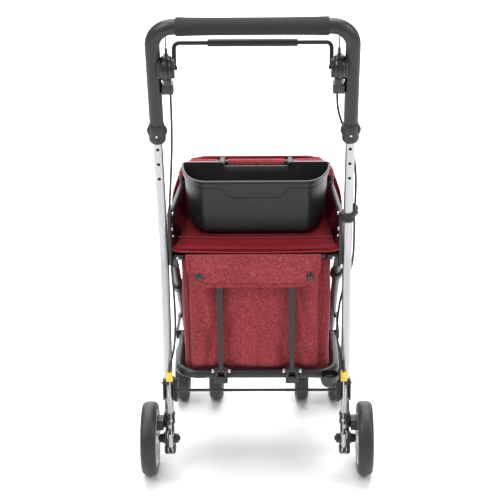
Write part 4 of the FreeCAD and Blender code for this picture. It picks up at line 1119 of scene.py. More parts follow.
        flap = object_from("pocket_flap_cloth", sheet_grid(110, 44, place), FINISH.flap)
        add_modifier(flap, "SOLIDIFY", thickness=0.0028, offset=0.0)
        add_modifier(flap, "BEVEL", width=0.0009, segments=2, limit_method="ANGLE")
        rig.padded(flap, fill=0.15)
        self.squashed(flap, ["pocket_flap"])
        rows = [[self.flap_edge(n / 60, inset) for n in range(61)] for inset in (6.0, 9.5)]
        self.squashed(stitches("flap_stitches", rows, FINISH.thread, Vector((0, -0.0017, 0))))
        self.squashed(strand("flap_binding", [[self.flap_edge(n / 60, 0.8) for n in range(61)]], 0.0017, FINISH.piping))

    def flap_edge(self, share: float, inset: float) -> Vector:
        """A point along the flap's free edge, moved in from it."""
        r, low, top = self.flap_corner - inset, self.flap_low + inset, self.flap_top - 1
        left, right = self.flap_left + inset, self.flap_right - inset
        side, arc, base = top - low - r, math.pi / 2 * r, right - left - 2 * r
        run = share * (2 * side + 2 * arc + base)
        mirrored_run = run > side + arc + base / 2
        if mirrored_run:
            run = 2 * side + 2 * arc + base - run
        if run < side:
            x, z = 0.0, top - run
        elif run < side + arc:
            angle = (run - side) / r
            x, z = r * (1 - math.cos(angle)), low + r * (1 - math.sin(angle))
        else:
            x, z = r + run - side - arc, low
        return self.flap_surface(right - x if mirrored_run else left + x, z)

    def snaps(self) -> None:
        """Round snap caps with a raised rim."""
        shape = bmesh.new()
        profile = [
            (0.0, 0.0), (0.0, 7.6), (1.4, 7.6), (2.4, 6.6), (2.6, 5.4), (1.7, 4.4), (1.6, 2.4), (2.2, 1.2), (2.3, 0.0),
        ]
        for x in (-116.0, 112.0):
            lathe(shape, profile, at(x, self.flap_y - 2.6, 469.0), Vector((0, -1, 0)), 36)
        self.squashed(object_from("snap_caps", shape, FINISH.gunmetal), ["pocket_snaps"])

    def trim(self) -> None:
        """Piping along the pocket's sides, and rows of stitches beside it."""
        heights = (self.bottom + 4, 300, 360, 420, 470, 490)
        left = [at(self.pocket_left, self.back - 2.4, z) for z in heights]
        low = [at(x, self.back - 1.6, self.bottom + 4) for x in (-143, -70, 0, 70, 133)]
        self.squashed(strand("bag_piping", [left, low], 0.0016, FINISH.piping))
        rows = []
        for x in (self.pocket_left + 5, self.pocket_right - 1.0, self.pocket_right + 5.5):
            lift = self.pocket_depth(x, 350) if x < self.pocket_right else 1.0
            rows.append([at(x, self.back - 1.4 - lift, z) for z in heights])
        self.squashed(stitches("bag_stitches", rows, FINISH.thread, Vector((0, -0.0006, 0))))


def raise_ring(shape: bmesh.types.BMesh, order: list[bmesh.types.BMVert], edges: list[bmesh.types.BMEdge],
               ) -> tuple[list[bmesh.types.BMVert], list[bmesh.types.BMEdge]]:
    """Extrude a closed ring of edges.

    Args:
        shape: the bmesh.
        order: the ring's vertices in order.
        edges: its edges.

    Returns:
        The new ring's vertices in the same order, and its edges.
    """
    known = set(order)
    grown = bmesh.ops.extrude_edge_only(shape, edges=edges)["geom"]
    upper = {g for g in grown if isinstance(g, bmesh.types.BMVert)}
    raised = [next(e.other_vert(v) for e in v.link_edges if e.other_vert(v) in upper) for v in order]
    fresh = [g for g in grown if isinstance(g, bmesh.types.BMEdge) and not known & set(g.verts)]
    return raised, fresh


@dataclass
class ArchPanel:
    """The cloth that closes the bag's top: an arched panel, a sleeve over the hoop, and side gussets.

    Attributes:
        near: near face of the panel, from the rear axle.
        far: far face of the panel.
        low: its lower edge.
        outline: its right half as (x, z), from the middle of the top down.
    """

    near: float = 230.5
    far: float = 249.5
    low: float = 481.0
    hoop_y: float = 220.0
    hoop_z: float = 634.0
    hoop_x: float = 161.0
    hoop_bend: float = 30.0
    outline: tuple[tuple[float, float], ...] = (
        (70, 646), (112, 645.5), (139, 640), (158, 625), (173, 597), (185, 562), (189, 535), (189, 505), (184, 481),
    )

    def build(self) -> None:
        """Make the panel, the sleeve, the gussets, and their piping and stitching."""
        shape = bmesh.new()
        rim = self.rim(2.5)
        face = shape.faces.new([shape.verts.new(p) for p in rim])
        grown = bmesh.ops.extrude_face_region(shape, geom=[face])["geom"]
        moved = [g for g in grown if isinstance(g, bmesh.types.BMVert)]
        bmesh.ops.translate(shape, verts=moved, vec=(0, (self.far - self.near) * MM, 0))
        # Painted shade: the panel takes the darkened red, for the shade on its inward side.
        panel = object_from("arch_cloth", shape, FINISH.dark_red)
        Inflation(voxel=0.006, pressure=3.0, cap=0.006).fill(panel)
        fitted(panel, at(-188, self.near, self.low), at(188, self.far, 643.5))
        reshape(panel, self.settle)
        add_modifier(panel, "SUBSURF", levels=1, render_levels=1)
        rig.padded(panel, fill=0.5)
        mount(panel, "frame", ["bag_arch"])
        self.sleeve()
        self.gussets()
        self.trim()

    def rim(self, inset: float) -> list[Vector]:
        """The panel's closed outline, moved inwards, from the lower right round over the top."""
        scale = (189 - inset) / 189
        right = [at(x * scale, self.near, z - inset * smooth_step(560, 640, z)) for x, z in self.outline]
        return list(reversed(right)) + [Vector((-p.x, p.y, p.z)) for p in right]

    def settle(self, place: Vector) -> Vector:
        """Slack waves across the panel, strongest at its lower part."""
        wave = noise.noise(Vector((place.x * 18, 0.0, place.z * 12)))
        place.y += 0.0020 * wave * smooth_step(0.63, 0.56, place.z)
        return place

    def hoop_path(self, start: float, end: float) -> list[Vector]:
        """Points along the hoop's top bar and round its corner, by distance from the middle."""
        straight, r = self.hoop_x - self.hoop_bend, self.hoop_bend
        places = []
        steps = 14
        for n in range(steps + 1):
            run = start + (end - start) * n / steps
            if run <= straight:
                places.append(at(run, self.hoop_y, self.hoop_z))
            else:
                angle = min(math.pi / 2, (run - straight) / r)
                down = max(0.0, run - straight - math.pi / 2 * r)
                drop = r * (1 - math.cos(angle)) + down
                places.append(at(straight + r * math.sin(angle), self.hoop_y, self.hoop_z - drop))
        return places

    def sleeve(self) -> None:
        """Cloth sewn round the hoop's top bar, with gaps for the basket's hooks."""
        outer = self.hoop_path(84, 176)
        middle = self.hoop_path(-61, 0)[:-1] + self.hoop_path(0, 61)
        routes = [middle, outer, [Vector((-p.x, p.y, p.z)) for p in outer]]
        mount(tube_along("hoop_sleeve", routes, 0.0083, FINISH.flap), "frame")
        rows = [[p + Vector((0, -0.0066, 0.0056)) for p in (middle[0], middle[len(middle) // 2], middle[-1])]]
        mount(stitches("sleeve_stitches", rows, FINISH.thread, Vector((0, -0.0004, 0.0004))), "frame")

    def gussets(self) -> None:
        """Side cloth between the hoop's side bars and the bag."""
        for side, name in ((-1, "left"), (1, "right")):

            def place(u: float, v: float, side: int = side) -> Vector:
                y = 36 + (228 - 36) * u
                bar = 174 - 13 * smooth_step(48, 220, y)
                upper = smooth_step(0.5, 1.0, v)
                lower = smooth_step(0.35, 0.0, v)
                wide = 175.5 + 1.5 * noise.noise(Vector((y * 0.02, v * 2.0, 3.0 + side)))
                x = wide + (bar - wide) * upper + (158 - wide) * lower
                return at(side * x, y, 488 + (579 - 488) * v)

            # Painted shade: the gussets take the darkened red, for the shade inside the bag's top.
            gusset = object_from(f"side_gusset_{name}", sheet_grid(40, 20, place), FINISH.dark_red)
            add_modifier(gusset, "SOLIDIFY", thickness=0.0018, offset=0.0)
            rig.padded(gusset, fill=0.1)
            mount(gusset, "frame")

    def trim(self) -> None:
        """Piping round the panel's near rim."""
        near = [p + Vector((0, 0.0015, 0)) for p in self.rim(2.8)]
        mount(strand("arch_piping", [near], 0.0016, FINISH.piping), "frame")


# ---- basket ----


@dataclass
class Basket:
    """The moulded basket: a D-shaped tub with a stepped band under its rim.

    Attributes:
        half: half its width over the rim.
        near: near wall at the rim, from the rear axle.
        far: far wall at the rim.
        round_x: how far in from its sides the near wall starts to curve.
    """

    half: float = 156.0
    near: float = 50.0
    far: float = 177.0
    floor: float = 533.0
    rim: float = 650.0
    round_x: float = 52.0
    far_round: float = 7.0
    steps: int = 56

    def outline(self) -> list[tuple[float, float, float, float]]:
        """Right half of the outline as (x, y, outward x, outward y), from the near middle to the far middle."""
        places = []
        deep = self.far - self.near - self.far_round
        for n in range(9):
            places.append(((self.half - self.round_x) * n / 9, self.near, 0.0, -1.0))
        for n in range(self.steps + 1):
            angle = math.pi / 2 * n / self.steps
            nx, ny = math.sin(angle) * deep, -math.cos(angle) * self.round_x
            size = math.hypot(nx, ny)
            x = self.half - self.round_x + self.round_x * math.sin(angle)
            places.append((x, self.near + deep * (1 - math.cos(angle)), nx / size, ny / size))
        for n in range(1, 7):
            angle = math.pi / 2 * n / 6
            x = self.half - self.far_round * (1 - math.cos(angle))
            places.append((x, self.far - self.far_round * (1 - math.sin(angle)), math.cos(angle), math.sin(angle)))
        for n in range(1, 25):
            places.append(((self.half - self.far_round) * (1 - n / 25), self.far, 0.0, 1.0))
        return places

    def ring(self) -> list[tuple[float, float, float, float]]:
        """The whole outline."""
        right = self.outline()
        return right + [(0.0, self.far, 0.0, 1.0)] + [(-x, y, -a, b) for x, y, a, b in reversed(right[1:])]

    def band_drop(self, x: float, y: float) -> float:
        """How far below the rim the stepped band ends: deeper at the middle of the near wall."""
        recess = smooth_step(66, 54, abs(x)) if y < self.near + 1 else 0.0
        return 16.0 + 21.0 * recess

    def levels(self) -> list[tuple[float, float, bool]]:
        """(height above the floor, inset, whether it follows the band's edge) up the wall and down inside."""
        base = [(15 * (1 - math.cos(a)), 6.6 + 15 * (1 - math.sin(a)), False) for a in (0.0, 0.3, 0.6, 0.9, 1.2, math.pi / 2)]
        wall = [(38.0, 5.8, False), (62.0, 4.2, False)]
        band = [(-3.2, 3.6, True), (-1.4, 3.4, True), (0.6, 1.0, True), (2.4, 0.0, True), (5.0, 0.3, True)]
        top = [(110.0, 0.0, False), (113.0, -1.6, False), (114.6, -2.6, False), (116.2, -2.6, False), (117.0, -1.6, False),
               (117.0, 1.8, False), (116.0, 2.6, False)]
        inner = [(96.0, 3.4, False), (60.0, 7.2, False), (20.0, 10.4, False), (8.0, 14.0, False), (3.4, 26.0, False)]
        return base + wall + band + top + inner

    def build(self) -> None:
        """Make the tub with its two hooks."""
        shape = bmesh.new()
        places = self.ring()
        made = bmesh.ops.create_circle(shape, cap_ends=True, segments=len(places), radius=1.0)["verts"]
        order = sorted(made, key=lambda v: math.atan2(v.co.y, v.co.x))
        edges = list(shape.edges)
        for n, (height, inset, banded) in enumerate(self.levels()):
            if n:
                order, edges = raise_ring(shape, order, edges)
            for vertex, place in zip(order, places):
                vertex.co = self.level_point(place, height, inset, banded)
        bmesh.ops.contextual_create(shape, geom=edges)
        tub = object_from("basket_tub", shape, FINISH.basket)
        mount(tub, "basket", ["basket"])
        self.hooks()

    def level_point(self, place: tuple[float, float, float, float], height: float, inset: float, banded: bool) -> Vector:
        """A point of the wall at a height, or along the band's wavy edge."""
        x, y, out_x, out_y = place
        z = self.floor + height
        if banded:
            z = self.rim - self.band_drop(x, y) + height
        sides = 7 * (1 - math.sqrt(1 - (1 - min(1.0, height / 30)) ** 2)) if not banded else 0.0
        lean = 2.0 * (1 - min(1.0, height / 110)) if not banded else 0.3
        x -= out_x * (inset + lean * 1.6) + math.copysign(sides * abs(x / self.half) ** 2.2, x)
        y -= out_y * (inset * (0.55 if height < 90 else 1.0) + lean * 0.4)
        if not banded and height > 90 and y > self.far - 12:
            z -= 9.0 * smooth_step(72, 68, abs(x)) * smooth_step(90, 108, height)
        return at(x, y, z)

    def hooks(self) -> None:
        """Two hooks from the far rim over the bag hoop, and pale strips beside them on the rim's flat top, a painted
        highlight.
        """
        shape = bmesh.new()
        for x in (-73, 73):
            soft_box(shape, at(x - 5, 172, 641.6), at(x + 5, 228.6, 644), 0.001)
            soft_box(shape, at(x - 5, 227, 629), at(x + 5, 228.8, 644), 0.0008)
            soft_box(shape, at(x - 4, 171, 643), at(x + 4, 179, 651), 0.0015)
        mount(object_from("basket_hooks", shape, FINISH.moulded), "basket")
        # Painted highlight: pale strips on the far rim's flat top.
        strips = bmesh.new()
        for side in (-1, 1):
            low, high = sorted((side * 80.0, side * 149.0))
            soft_box(strips, at(low, 173.5, 649.4), at(high, 177.5, 651.4), 0.0008)
        mount(object_from("basket_rim_highlight_bands", strips, FINISH.strip), "basket")


# ---- handle ----


def lean_over(shape: bmesh.types.BMesh, verts: Iterable[bmesh.types.BMVert]) -> None:
    """Move points from (x, forward of the post, rise along it) to the row frame."""
    made = list(verts)
    bmesh.ops.rotate(shape, verts=made, cent=(0, 0, 0), matrix=Matrix.Rotation(LEAN, 3, "X"))
    bmesh.ops.translate(shape, verts=made, vec=(0, AXLE_Y, BEND_Z))


def leaning_box(shape: bmesh.types.BMesh, low: tuple[float, float, float], high: tuple[float, float, float],
                radius: float) -> None:
    """Add a rounded box by its corners as (x, forward of the post, rise), in millimetres."""
    lean_over(shape, soft_box(shape, Vector(low) * MM, Vector(high) * MM, radius))


@dataclass
class Handle:
    """Foam grip, covers, collars and lever housings."""

    rise: float = 522.0
    collar: float = 272.0
    lever: float = 435.0
    bend: float = 40.0
    grip_half: float = 143.0

    def build(self) -> None:
        """Make every moulded and foam piece of the handle."""
        self.grip()
        self.bar_sleeve()
        self.covers()
        self.collars()
        for side, name in ((-1, "left"), (1, "right")):
            self.lever_housing(side, name)

    def grip(self) -> None:
        """Foam sleeve, a little thicker at its ends."""
        half = self.grip_half
        outer = [(-half, 16.4), (-half + 1, 17.6), (-half + 5, 17.9), (-half + 30, 17.2), (-60, 16.7), (0, 16.6)]
        profile = [(-half, 11.1)] + outer + [(-d, r) for d, r in reversed(outer[:-1])] + [(half, 11.1)]
        shape = bmesh.new()
        lathe(shape, profile, on_post(0, self.rise), Vector((1, 0, 0)), 56, closed=True)
        mount(object_from("foam_grip_sleeve", shape, FINISH.foam), "handle", ["foam_grip"])

    def bar_sleeve(self) -> None:
        """Sleeve on the brake bar with fine rings."""
        low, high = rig.box("bar_grip")
        centre = (low + high) / 2
        half = (high.x - low.x) / 2 / MM
        outer = [(-half, 6.6), (-half + 0.8, 7.4)]
        for n in range(-9, 10):
            d = n * (half - 4) / 9
            outer += [(d - 1.2, 7.4), (d, 7.1), (d + 1.2, 7.4)]
        outer += [(half - 0.8, 7.4), (half, 6.6)]
        shape = bmesh.new()
        lathe(shape, [(-half, 4.4)] + outer + [(half, 4.4)], centre, Vector((1, 0, 0)), 40, closed=True)
        mount(object_from("bar_sleeve", shape, FINISH.sleeve), "brake_bar", ["bar_grip"])

    def covers(self) -> None:
        """Moulded covers along the legs and round the corners."""
        routes, radii = [], []
        for side in (-1, 1):
            route = [on_post(side * POST_X_MM, r) for r in (300, 330, 380, 430, 470, self.rise - self.bend)]
            for n in range(1, 15):
                angle = math.pi / 2 * n / 14
                x = POST_X_MM - self.bend * (1 - math.cos(angle))
                route.append(on_post(side * x, self.rise - self.bend * (1 - math.sin(angle))))
            route.append(on_post(side * self.grip_half, self.rise))
            routes.append(route)
            radii.append([min(15.2, 14.0 + 0.012 * n * 10) / 15 for n in range(len(route))])
        mount(tube_along("leg_cover_shells", routes, 0.015, FINISH.cover, radii), "handle", ["leg_covers"])

    def collars(self) -> None:
        """Collars with a rounded foot and a grooved lobe on each side; each groove is a darker glossy patch on its
        lobe, painted shade of the recess.
        """
        shape, shaded_recess_patches = bmesh.new(), bmesh.new()
        foot = self.collar
        profile = [
            (foot, 11.2), (foot, 13.0), (foot + 1.2, 14.8), (foot + 4, 16.4), (foot + 8, 17.0), (foot + 12, 17.0),
            (foot + 13, 16.2), (foot + 30, 15.8), (foot + 40, 15.6), (foot + 42, 14.6), (foot + 42, 13.0),
        ]
        for side in (-1, 1):
            x = side * POST_X_MM
            lean_over(shape, lathe(shape, profile, Vector((x * MM, 0, 0)), Vector((0, 0, 1)), 48, closed=True))
            for out in (-1, 1):
                centre = Vector(((x + out * 15.2) * MM, 0, (foot + 25) * MM))
                lobe = ball(shape, centre, Vector((4.2, 7.5, 11.5)) * MM)
                lean_over(shape, lobe)
                # Painted shade: a darker glossy patch on each lobe stands for the groove's shaded recess.
                shaded_recess_patch = ball(shaded_recess_patches, centre + Vector((out * 1.6 * MM, 0, 0)), Vector((3.6, 4.6, 7.6)) * MM)
                lean_over(shaded_recess_patches, shaded_recess_patch)
        mount(object_from("collar_shells", shape, FINISH.cover), "handle", ["collars"])
        # The groove patches take the gloss black paint, darker than the collar covers, as painted shade.
        mount(object_from("collar_recess_shade", shaded_recess_patches, FINISH.black_tube), "handle")

    def lever_housing(self, side: int, name: str) -> None:
        """A banded drum with its saddle on the leg and its foot block."""
        shape = bmesh.new()
        profile = [
            (153.2, 5.0), (153.2, 20.5), (153.8, 22.0), (155.6, 23.4), (158.6, 24.4), (159.2, 23.4), (160.2, 23.4),
            (160.8, 24.9), (166.0, 25.2), (168.0, 24.8), (168.5, 23.6), (169.4, 23.6), (170.0, 24.2), (173.0, 22.6),
            (175.0, 19.0), (175.0, 5.0),
        ]
        centre = Vector((0, 0, self.lever * MM))
        lean_over(shape, lathe(shape, profile, centre, Vector((side, 0, 0)), 56, closed=True))
        boxes = (
            ((162, -12, -19), (186, 12, 19), 0.004), ((153.6, -15.5, -33), (168, 15.5, -4), 0.003),
            ((151.5, -11, -53), (174, 13, -33), 0.0022), ((150.8, -8, -49), (153, 10, -44), 0.0006),
            ((158, -9, 18), (169, 9, 27), 0.002),
        )
        for (x0, y0, z0), (x1, y1, z1), radius in boxes:
            xs = sorted((side * x0, side * x1))
            leaning_box(shape, (xs[0], y0, self.lever + z0), (xs[1], y1, self.lever + z1), radius)
        mount(object_from(f"lever_shell_{name}", shape, FINISH.gloss), "handle", [f"lever_housing_{name}"])


# ---- wheels ----


@dataclass
class Tyres:
    """Rounded tyres on the rear rims and on the casters' twin hubs.

    Attributes:
        squareness: how flat the tread is, from 0 for a round section.
    """

    squareness: float = 0.42

    def build(self) -> None:
        """Make all six tyres."""
        for side, name in ((-1, "left"), (1, "right")):
            low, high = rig.box(f"rear_tyre_{name}")
            shape = bmesh.new()
            self.tyre(shape, low, high, 62.0)
            mount(object_from(f"rear_tread_{name}", shape, FINISH.tyre), f"wheel_{name}", [f"rear_tyre_{name}"])
            low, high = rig.box(f"caster_tyres_{name}")
            shape = bmesh.new()
            width = Vector((0.032, 0, 0))
            self.tyre(shape, low, Vector((low.x, high.y, high.z)) + width, 47.0)
            self.tyre(shape, Vector((high.x, low.y, low.z)) - width, high, 47.0)
            treads = object_from(f"caster_treads_{name}", shape, FINISH.tyre)
            mount(treads, f"caster_wheels_{name}", [f"caster_tyres_{name}"])

    def tyre(self, shape: bmesh.types.BMesh, low: Vector, high: Vector, bead: float) -> None:
        """Add one tyre that fills a box."""
        centre = (low + high) / 2
        half = (high.x - low.x) / 2 / MM
        radius = (high.z - low.z) / 2 / MM
        section = [(-half + 1.2, bead)]
        steps = 18
        for n in range(steps + 1):
            angle = math.pi * (n / steps - 0.5)
            wide = math.copysign(abs(math.sin(angle)) ** (1 - self.squareness * 0.6), math.sin(angle))
            tall = abs(math.cos(angle)) ** (1 - self.squareness)
            section.append((half * wide, bead + 4 + (radius - bead - 4) * tall))
        section.append((half - 1.2, bead))
        lathe(shape, section, centre, Vector((1, 0, 0)), 96, closed=True)


@dataclass
class RearFeet:
    """Post brackets, wheel carriers and their springs."""

    post: float = 188.0

    def build(self) -> None:
        """Make the brackets and the carriers."""
        self.brackets()
        self.axles()
        for side, name in ((-1, "left"), (1, "right")):
            self.carrier(side, name)

    def axles(self) -> None:
        """Axle bolts with low round heads."""
        shape = bmesh.new()
        profile = [
            (166.6, 0), (166.6, 4.2), (167.4, 5.4), (169.0, 5.8), (170.2, 5.8), (170.2, 4.0), (243.0, 4.0), (243.0, 0),
        ]
        for side in (-1, 1):
            lathe(shape, profile, at(0, 0, 80), Vector((side, 0, 0)), 32)
        mount(object_from("axle_bolts", shape, FINISH.gunmetal), "frame", ["rear_axles"])

    def brackets(self) -> None:
        """Channel-shaped brackets on the posts with a bright rod in the channel."""
        shape, bright = bmesh.new(), bmesh.new()
        for side in (-1, 1):
            boxes = (
                ((175, -4, 176), (200, 14, 224), 0.003), ((175, -14, 178), (178.6, 4, 222), 0.0012),
                ((196.4, -14, 178), (200, 4, 222), 0.0012), ((175, -14, 214), (200, 0, 225), 0.002),
                ((167.5, -9, 184), (177, 8, 224), 0.003), ((169, -8, 171), (177, 7, 188), 0.003),
            )
            for (x0, y0, z0), (x1, y1, z1), radius in boxes:
                xs = sorted((side * x0, side * x1))
                soft_box(shape, at(xs[0], y0, z0), at(xs[1], y1, z1), radius)
            rod = [(0, 0), (0, 2.4), (1, 2.6), (38, 2.6), (39, 2.0), (39, 0)]
            lathe(bright, rod, at(side * 187.5, -9, 176), Vector((side * 0.05, 0.02, 1)), 20)
        mount(object_from("bracket_shells", shape, FINISH.moulded), "frame", ["post_brackets"])
        mount(object_from("bracket_rods", bright, FINISH.steel), "frame")

    def carrier(self, side: int, name: str) -> None:
        """One carrier: a sleeve on the post, the shoe's arm, a spring housing and a rounded foot."""
        shape = bmesh.new()
        sleeve = [
            (118, 9.7), (118, 11.4), (120, 12.0), (123, 12.0), (124, 10.9), (138, 10.9), (139, 12.2), (142.5, 12.2),
            (143.5, 11.4), (143.5, 9.7),
        ]
        lathe(shape, sleeve, at(side * self.post, 0, 0), Vector((0, 0, 1)), 40, closed=True)
        boxes = (
            ((179, -9, 104), (197, 15, 120), 0.003), ((180, -12.5, 64), (199, 15, 98), 0.003),
            ((190, -3, 106), (201, 24, 127), 0.002), ((179, -14, 97), (198, 13, 106), 0.002),
            ((176.5, -14, 46), (201, 15, 68), 0.006), ((196, -10, 70), (203, 10, 92), 0.003),
            ((177, -8, 120), (181, 8, 134), 0.0015), ((195, -8, 120), (199, 8, 134), 0.0015),
        )
        for (x0, y0, z0), (x1, y1, z1), radius in boxes:
            xs = sorted((side * x0, side * x1))
            soft_box(shape, at(xs[0], y0, z0), at(xs[1], y1, z1), radius)
        boss = [
            (170, 4.1), (170, 9.5), (171, 10.4), (178, 10.6), (178.4, 11.0), (200, 11.0), (204, 10.2), (212, 8.8),
            (212, 4.1),
        ]
        lathe(shape, boss, at(0, 0, 80), Vector((side, 0, 0)), 40, closed=True)
        mount(object_from(f"carrier_shell_{name}", shape, FINISH.gloss), "frame", [f"wheel_carrier_{name}"])
        bright = bmesh.new()
        barrel = [(0, 0), (0, 3.4), (1, 4.6), (3, 4.8), (30, 4.8), (32, 4.2), (33, 0)]
        lathe(bright, barrel, at(side * 186, -14.5, 66), Vector((0, 0, 1)), 28)
        window = [(0, 0), (0, 3.2), (1.4, 3.2), (2.0, 2.4), (2.0, 0)]
        lathe(bright, window, at(side * 184, -11.2, 129), Vector((0, -1, 0)), 24)
        mount(object_from(f"spring_barrel_{name}", bright, FINISH.steel), "frame")
        loop = [at(side * x, y, z) for x, y, z in (
            (181, -16, 104), (180, -18, 96), (183, -19, 88), (189, -18.5, 84), (193, -17, 90), (193, -15.5, 100),
            (190, -14, 107))]
        lower = [at(side * x, y, z) for x, y, z in (
            (183, -16, 64), (181, -17.5, 58), (184, -17.5, 52), (190, -17, 51), (193, -16, 57), (192, -15, 65))]
        mount(strand(f"spring_wire_{name}", [loop, lower], 0.0008, FINISH.steel), "frame")


@dataclass
class BaseFittings:
    """Clevises, stick cup and stick clip."""

    strut: float = 75.0

    def build(self) -> None:
        """Make the fittings."""
        self.clevises()
        self.cup()
        self.clip()

    def clevises(self) -> None:
        """Forked clevises with a block under the tube and washers at the bolts."""
        shape = bmesh.new()
        for side in (-1, 1):
            x = side * self.strut
            soft_box(shape, at(x - 14, -21, 221), at(x + 14, 7, 231), 0.0025)
            soft_box(shape, at(x - 10, -23, 224), at(x + 10, -10.5, 238), 0.0025)
            for out in (-1, 1):
                xs = sorted((x + out * 5.6, x + out * 12.4))
                soft_box(shape, at(xs[0], -19.5, 226), at(xs[1], 1, 253), 0.003)
                cheek = [(5.6, 0), (5.6, 7.2), (6.4, 8.0), (11.0, 8.0), (12.4, 7.0), (14.6, 5.4), (14.6, 0)]
                lathe(shape, cheek, at(x, -13, 250), Vector((out, 0, 0)), 32)
        mount(object_from("clevis_shells", shape, FINISH.gloss), "base", ["base_clevises"])

    def cup(self) -> None:
        """Bowl for a stick's tip, with two bright bolts inside, placed where the bowl shows its highlights: painted
        highlights.
        """
        shape = bmesh.new()
        profile = [
            (0, 0), (0, 9), (1, 12), (5, 15.5), (12, 18.4), (20, 19.8), (25, 20.3), (27.4, 20.3), (28.2, 19.4), (27.4, 18.4),
            (20, 17.6), (12, 16), (6, 12.5), (3.4, 8), (3.0, 0),
        ]
        centre = at(153, -31.5, 222)
        lathe(shape, profile, centre, Vector((0, 0, 1)), 56)
        soft_box(shape, at(144, -22, 228), at(162, -8, 240), 0.003)
        mount(object_from("cup_bowl", shape, FINISH.gloss), "base", ["cane_cup"])
        # Painted highlights: bright steel bolt heads at the two places where the bowl's inside shines.
        bolts = bmesh.new()
        for x in (147.5, 157.5):
            lathe(bolts, [(0, 0), (0, 3.0), (1.6, 2.6), (2.4, 1.4), (2.6, 0)], at(x, -28, 227), Vector((0, 0, 1)), 24)
        mount(object_from("cup_highlight_bolts", bolts, FINISH.steel), "base")

    def clip(self) -> None:
        """Rubber band rolled round the right post, with an open loop for a stick."""
        shape = bmesh.new()
        roll = [
            (0, 9.7), (0, 12.4), (1.2, 14.2), (3.6, 15.2), (6.4, 15.2), (8.6, 14.4), (9.8, 13.0), (10.2, 13.0), (11.4, 14.4),
            (13.6, 15.2), (16.4, 15.2), (18.8, 14.2), (20, 12.4), (20, 9.7),
        ]
        band = [(84 + d, r) for d, r in roll]
        lean_over(shape, lathe(shape, band, Vector((POST_X, 0, 0)), Vector((0, 0, 1)), 48, closed=True))
        loop = [(84 + d, r - 0.6 if r < 10 else r - 2.2) for d, r in roll]
        lean_over(shape, lathe(shape, loop, Vector((0.1965, 0.0195, 0)), Vector((0, 0, 1)), 44, closed=True))
        mount(object_from("stick_clip_rubber", shape, FINISH.band), "frame", ["cane_clip"])


# ---- stage ----


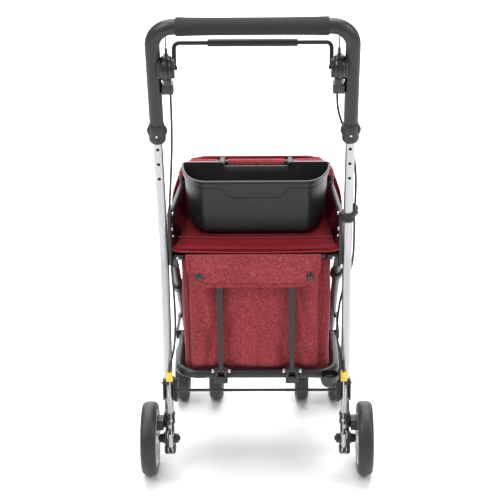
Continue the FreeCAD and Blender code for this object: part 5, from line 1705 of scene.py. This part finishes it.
@dataclass
class Studio:
    """Floor, lights and camera."""

    lens: float = 108.1
    yaw: float = -0.01989
    pitch: float = math.radians(21.626)
    roll: float = -0.01105
    eye: tuple[float, float, float] = (0.0458, -2.8698, 1.6554)

    def build(self) -> None:
        """Set the stage."""
        self.floor()
        self.lights()
        self.camera()

    def floor(self) -> None:
        """A pale floor that curves up behind the walker."""
        shape = bmesh.new()
        made = bmesh.ops.create_grid(shape, x_segments=2, y_segments=60, size=0.5)["verts"]
        for vertex in made:
            run = (vertex.co.y + 0.5) * 14 - 5
            lift = max(0.0, run - 3.5)
            vertex.co = Vector((vertex.co.x * 16, min(run, 3.5 + 1.2 * math.sin(min(lift, 1.8) / 1.8 * math.pi / 2)),
                                1.9 * (1 - math.cos(min(lift, 1.8) / 1.8 * math.pi / 2)) + max(0.0, lift - 1.8)))
        mesh = bpy.data.meshes.new("floor")
        shape.to_mesh(mesh)
        shape.free()
        floor = bpy.data.objects.new("floor", mesh)
        bpy.context.scene.collection.objects.link(floor)
        mesh.polygons.foreach_set("use_smooth", [True] * len(mesh.polygons))
        material = bpy.data.materials.new("pale paper")
        material.use_nodes = True
        bench = NodeBench(material.node_tree)
        shader = bench.tree.nodes["Principled BSDF"]
        cloud = bench.noise(bench.add("TexCoord").outputs["Object"], 3.0, 3.0)
        bench.feed(shader.inputs["Base Color"], bench.mix(cloud, (0.90, 0.905, 0.91, 1), (0.94, 0.94, 0.94, 1)))
        shader.inputs["Roughness"].default_value = 0.55
        mesh.materials.append(material)
        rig.stage(floor)

    def lights(self) -> None:
        """Large soft lights from above and both sides, and a bright surround."""
        world = bpy.data.worlds.new("surround")
        bpy.context.scene.world = world
        world.use_nodes = True
        world.node_tree.nodes["Background"].inputs[0].default_value = (1.0, 1.0, 1.0, 1)
        world.node_tree.nodes["Background"].inputs[1].default_value = 0.62
        for name, place, size, power, aim_at in (
            ("key", (-1.7, -1.5, 2.9), 1.5, 46.0, (0, 0, 0.5)),
            ("fill", (2.3, -1.0, 2.2), 1.3, 26.0, (0, 0, 0.5)),
            ("top", (0.0, 0.6, 3.0), 2.6, 88.0, (0, 0, 0.5)),
            ("backdrop", (0.0, 2.6, 3.2), 3.0, 190.0, (0, 4.6, 0.6)),
        ):
            lamp = bpy.data.lights.new(name, "AREA")
            lamp.size = size
            lamp.energy = power
            holder = bpy.data.objects.new(name, lamp)
            bpy.context.scene.collection.objects.link(holder)
            holder.location = place
            aim = Vector(aim_at) - Vector(place)
            holder.rotation_euler = aim.to_track_quat("-Z", "Y").to_euler()

    def camera(self) -> None:
        """The camera behind the walker, above it."""
        lens = bpy.data.cameras.new("camera")
        lens.lens = self.lens
        lens.sensor_width = 36.0
        lens.clip_end = 60.0
        camera = bpy.data.objects.new("camera", lens)
        bpy.context.scene.collection.objects.link(camera)
        level = Vector((math.sin(self.yaw), math.cos(self.yaw), 0)) * math.cos(self.pitch)
        ahead = level - Vector((0, 0, math.sin(self.pitch)))
        right = Vector((math.cos(self.yaw), -math.sin(self.yaw), 0))
        up = right.cross(ahead)
        tilted_right = right * math.cos(self.roll) + up * math.sin(self.roll)
        tilted_up = up * math.cos(self.roll) - right * math.sin(self.roll)
        turn = Matrix((tilted_right, tilted_up, -ahead)).transposed().to_4x4()
        camera.matrix_world = Matrix.Translation(Vector(self.eye) + Vector((0, AXLE_Y, 0))) @ turn
        bpy.context.scene.camera = camera
        view = bpy.context.scene.view_settings
        view.view_transform = "Standard"
        view.look = "None"


def dress_frame(frame: dict[str, object]) -> None:
    """Give every CAD node the finish of its material slot, or its own.
    """
    own = {"leg_covers": FINISH.cover, "bar_grip": FINISH.sleeve, "pocket_snaps": FINISH.gunmetal}
    slots = {s["node"]: s["material_slot"] for s in frame["record"]["subparts"]}
    for name, node in frame["nodes"].items():
        finish = own.get(name, SLOT_FINISH[slots[name]])
        node.data.materials.clear()
        node.data.materials.append(finish.material())


def main() -> None:
    """Build the walker round its CAD frame."""
    logging.basicConfig(level=logging.INFO, format="%(name)s: %(message)s")
    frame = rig.load()
    cad_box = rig.bounds()
    dress_frame(frame)
    parts = (Seat(), Bag(), ArchPanel(), Basket(), Handle(), Tyres(), RearFeet(), BaseFittings(), Studio())
    for part in parts:
        part.build()
    boxes = {"cad": [list(corner) for corner in cad_box], "visual": [list(corner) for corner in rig.bounds()]}
    with open("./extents.json", "w") as report:
        json.dump(boxes, report)


if __name__ == "__main__":
    main()
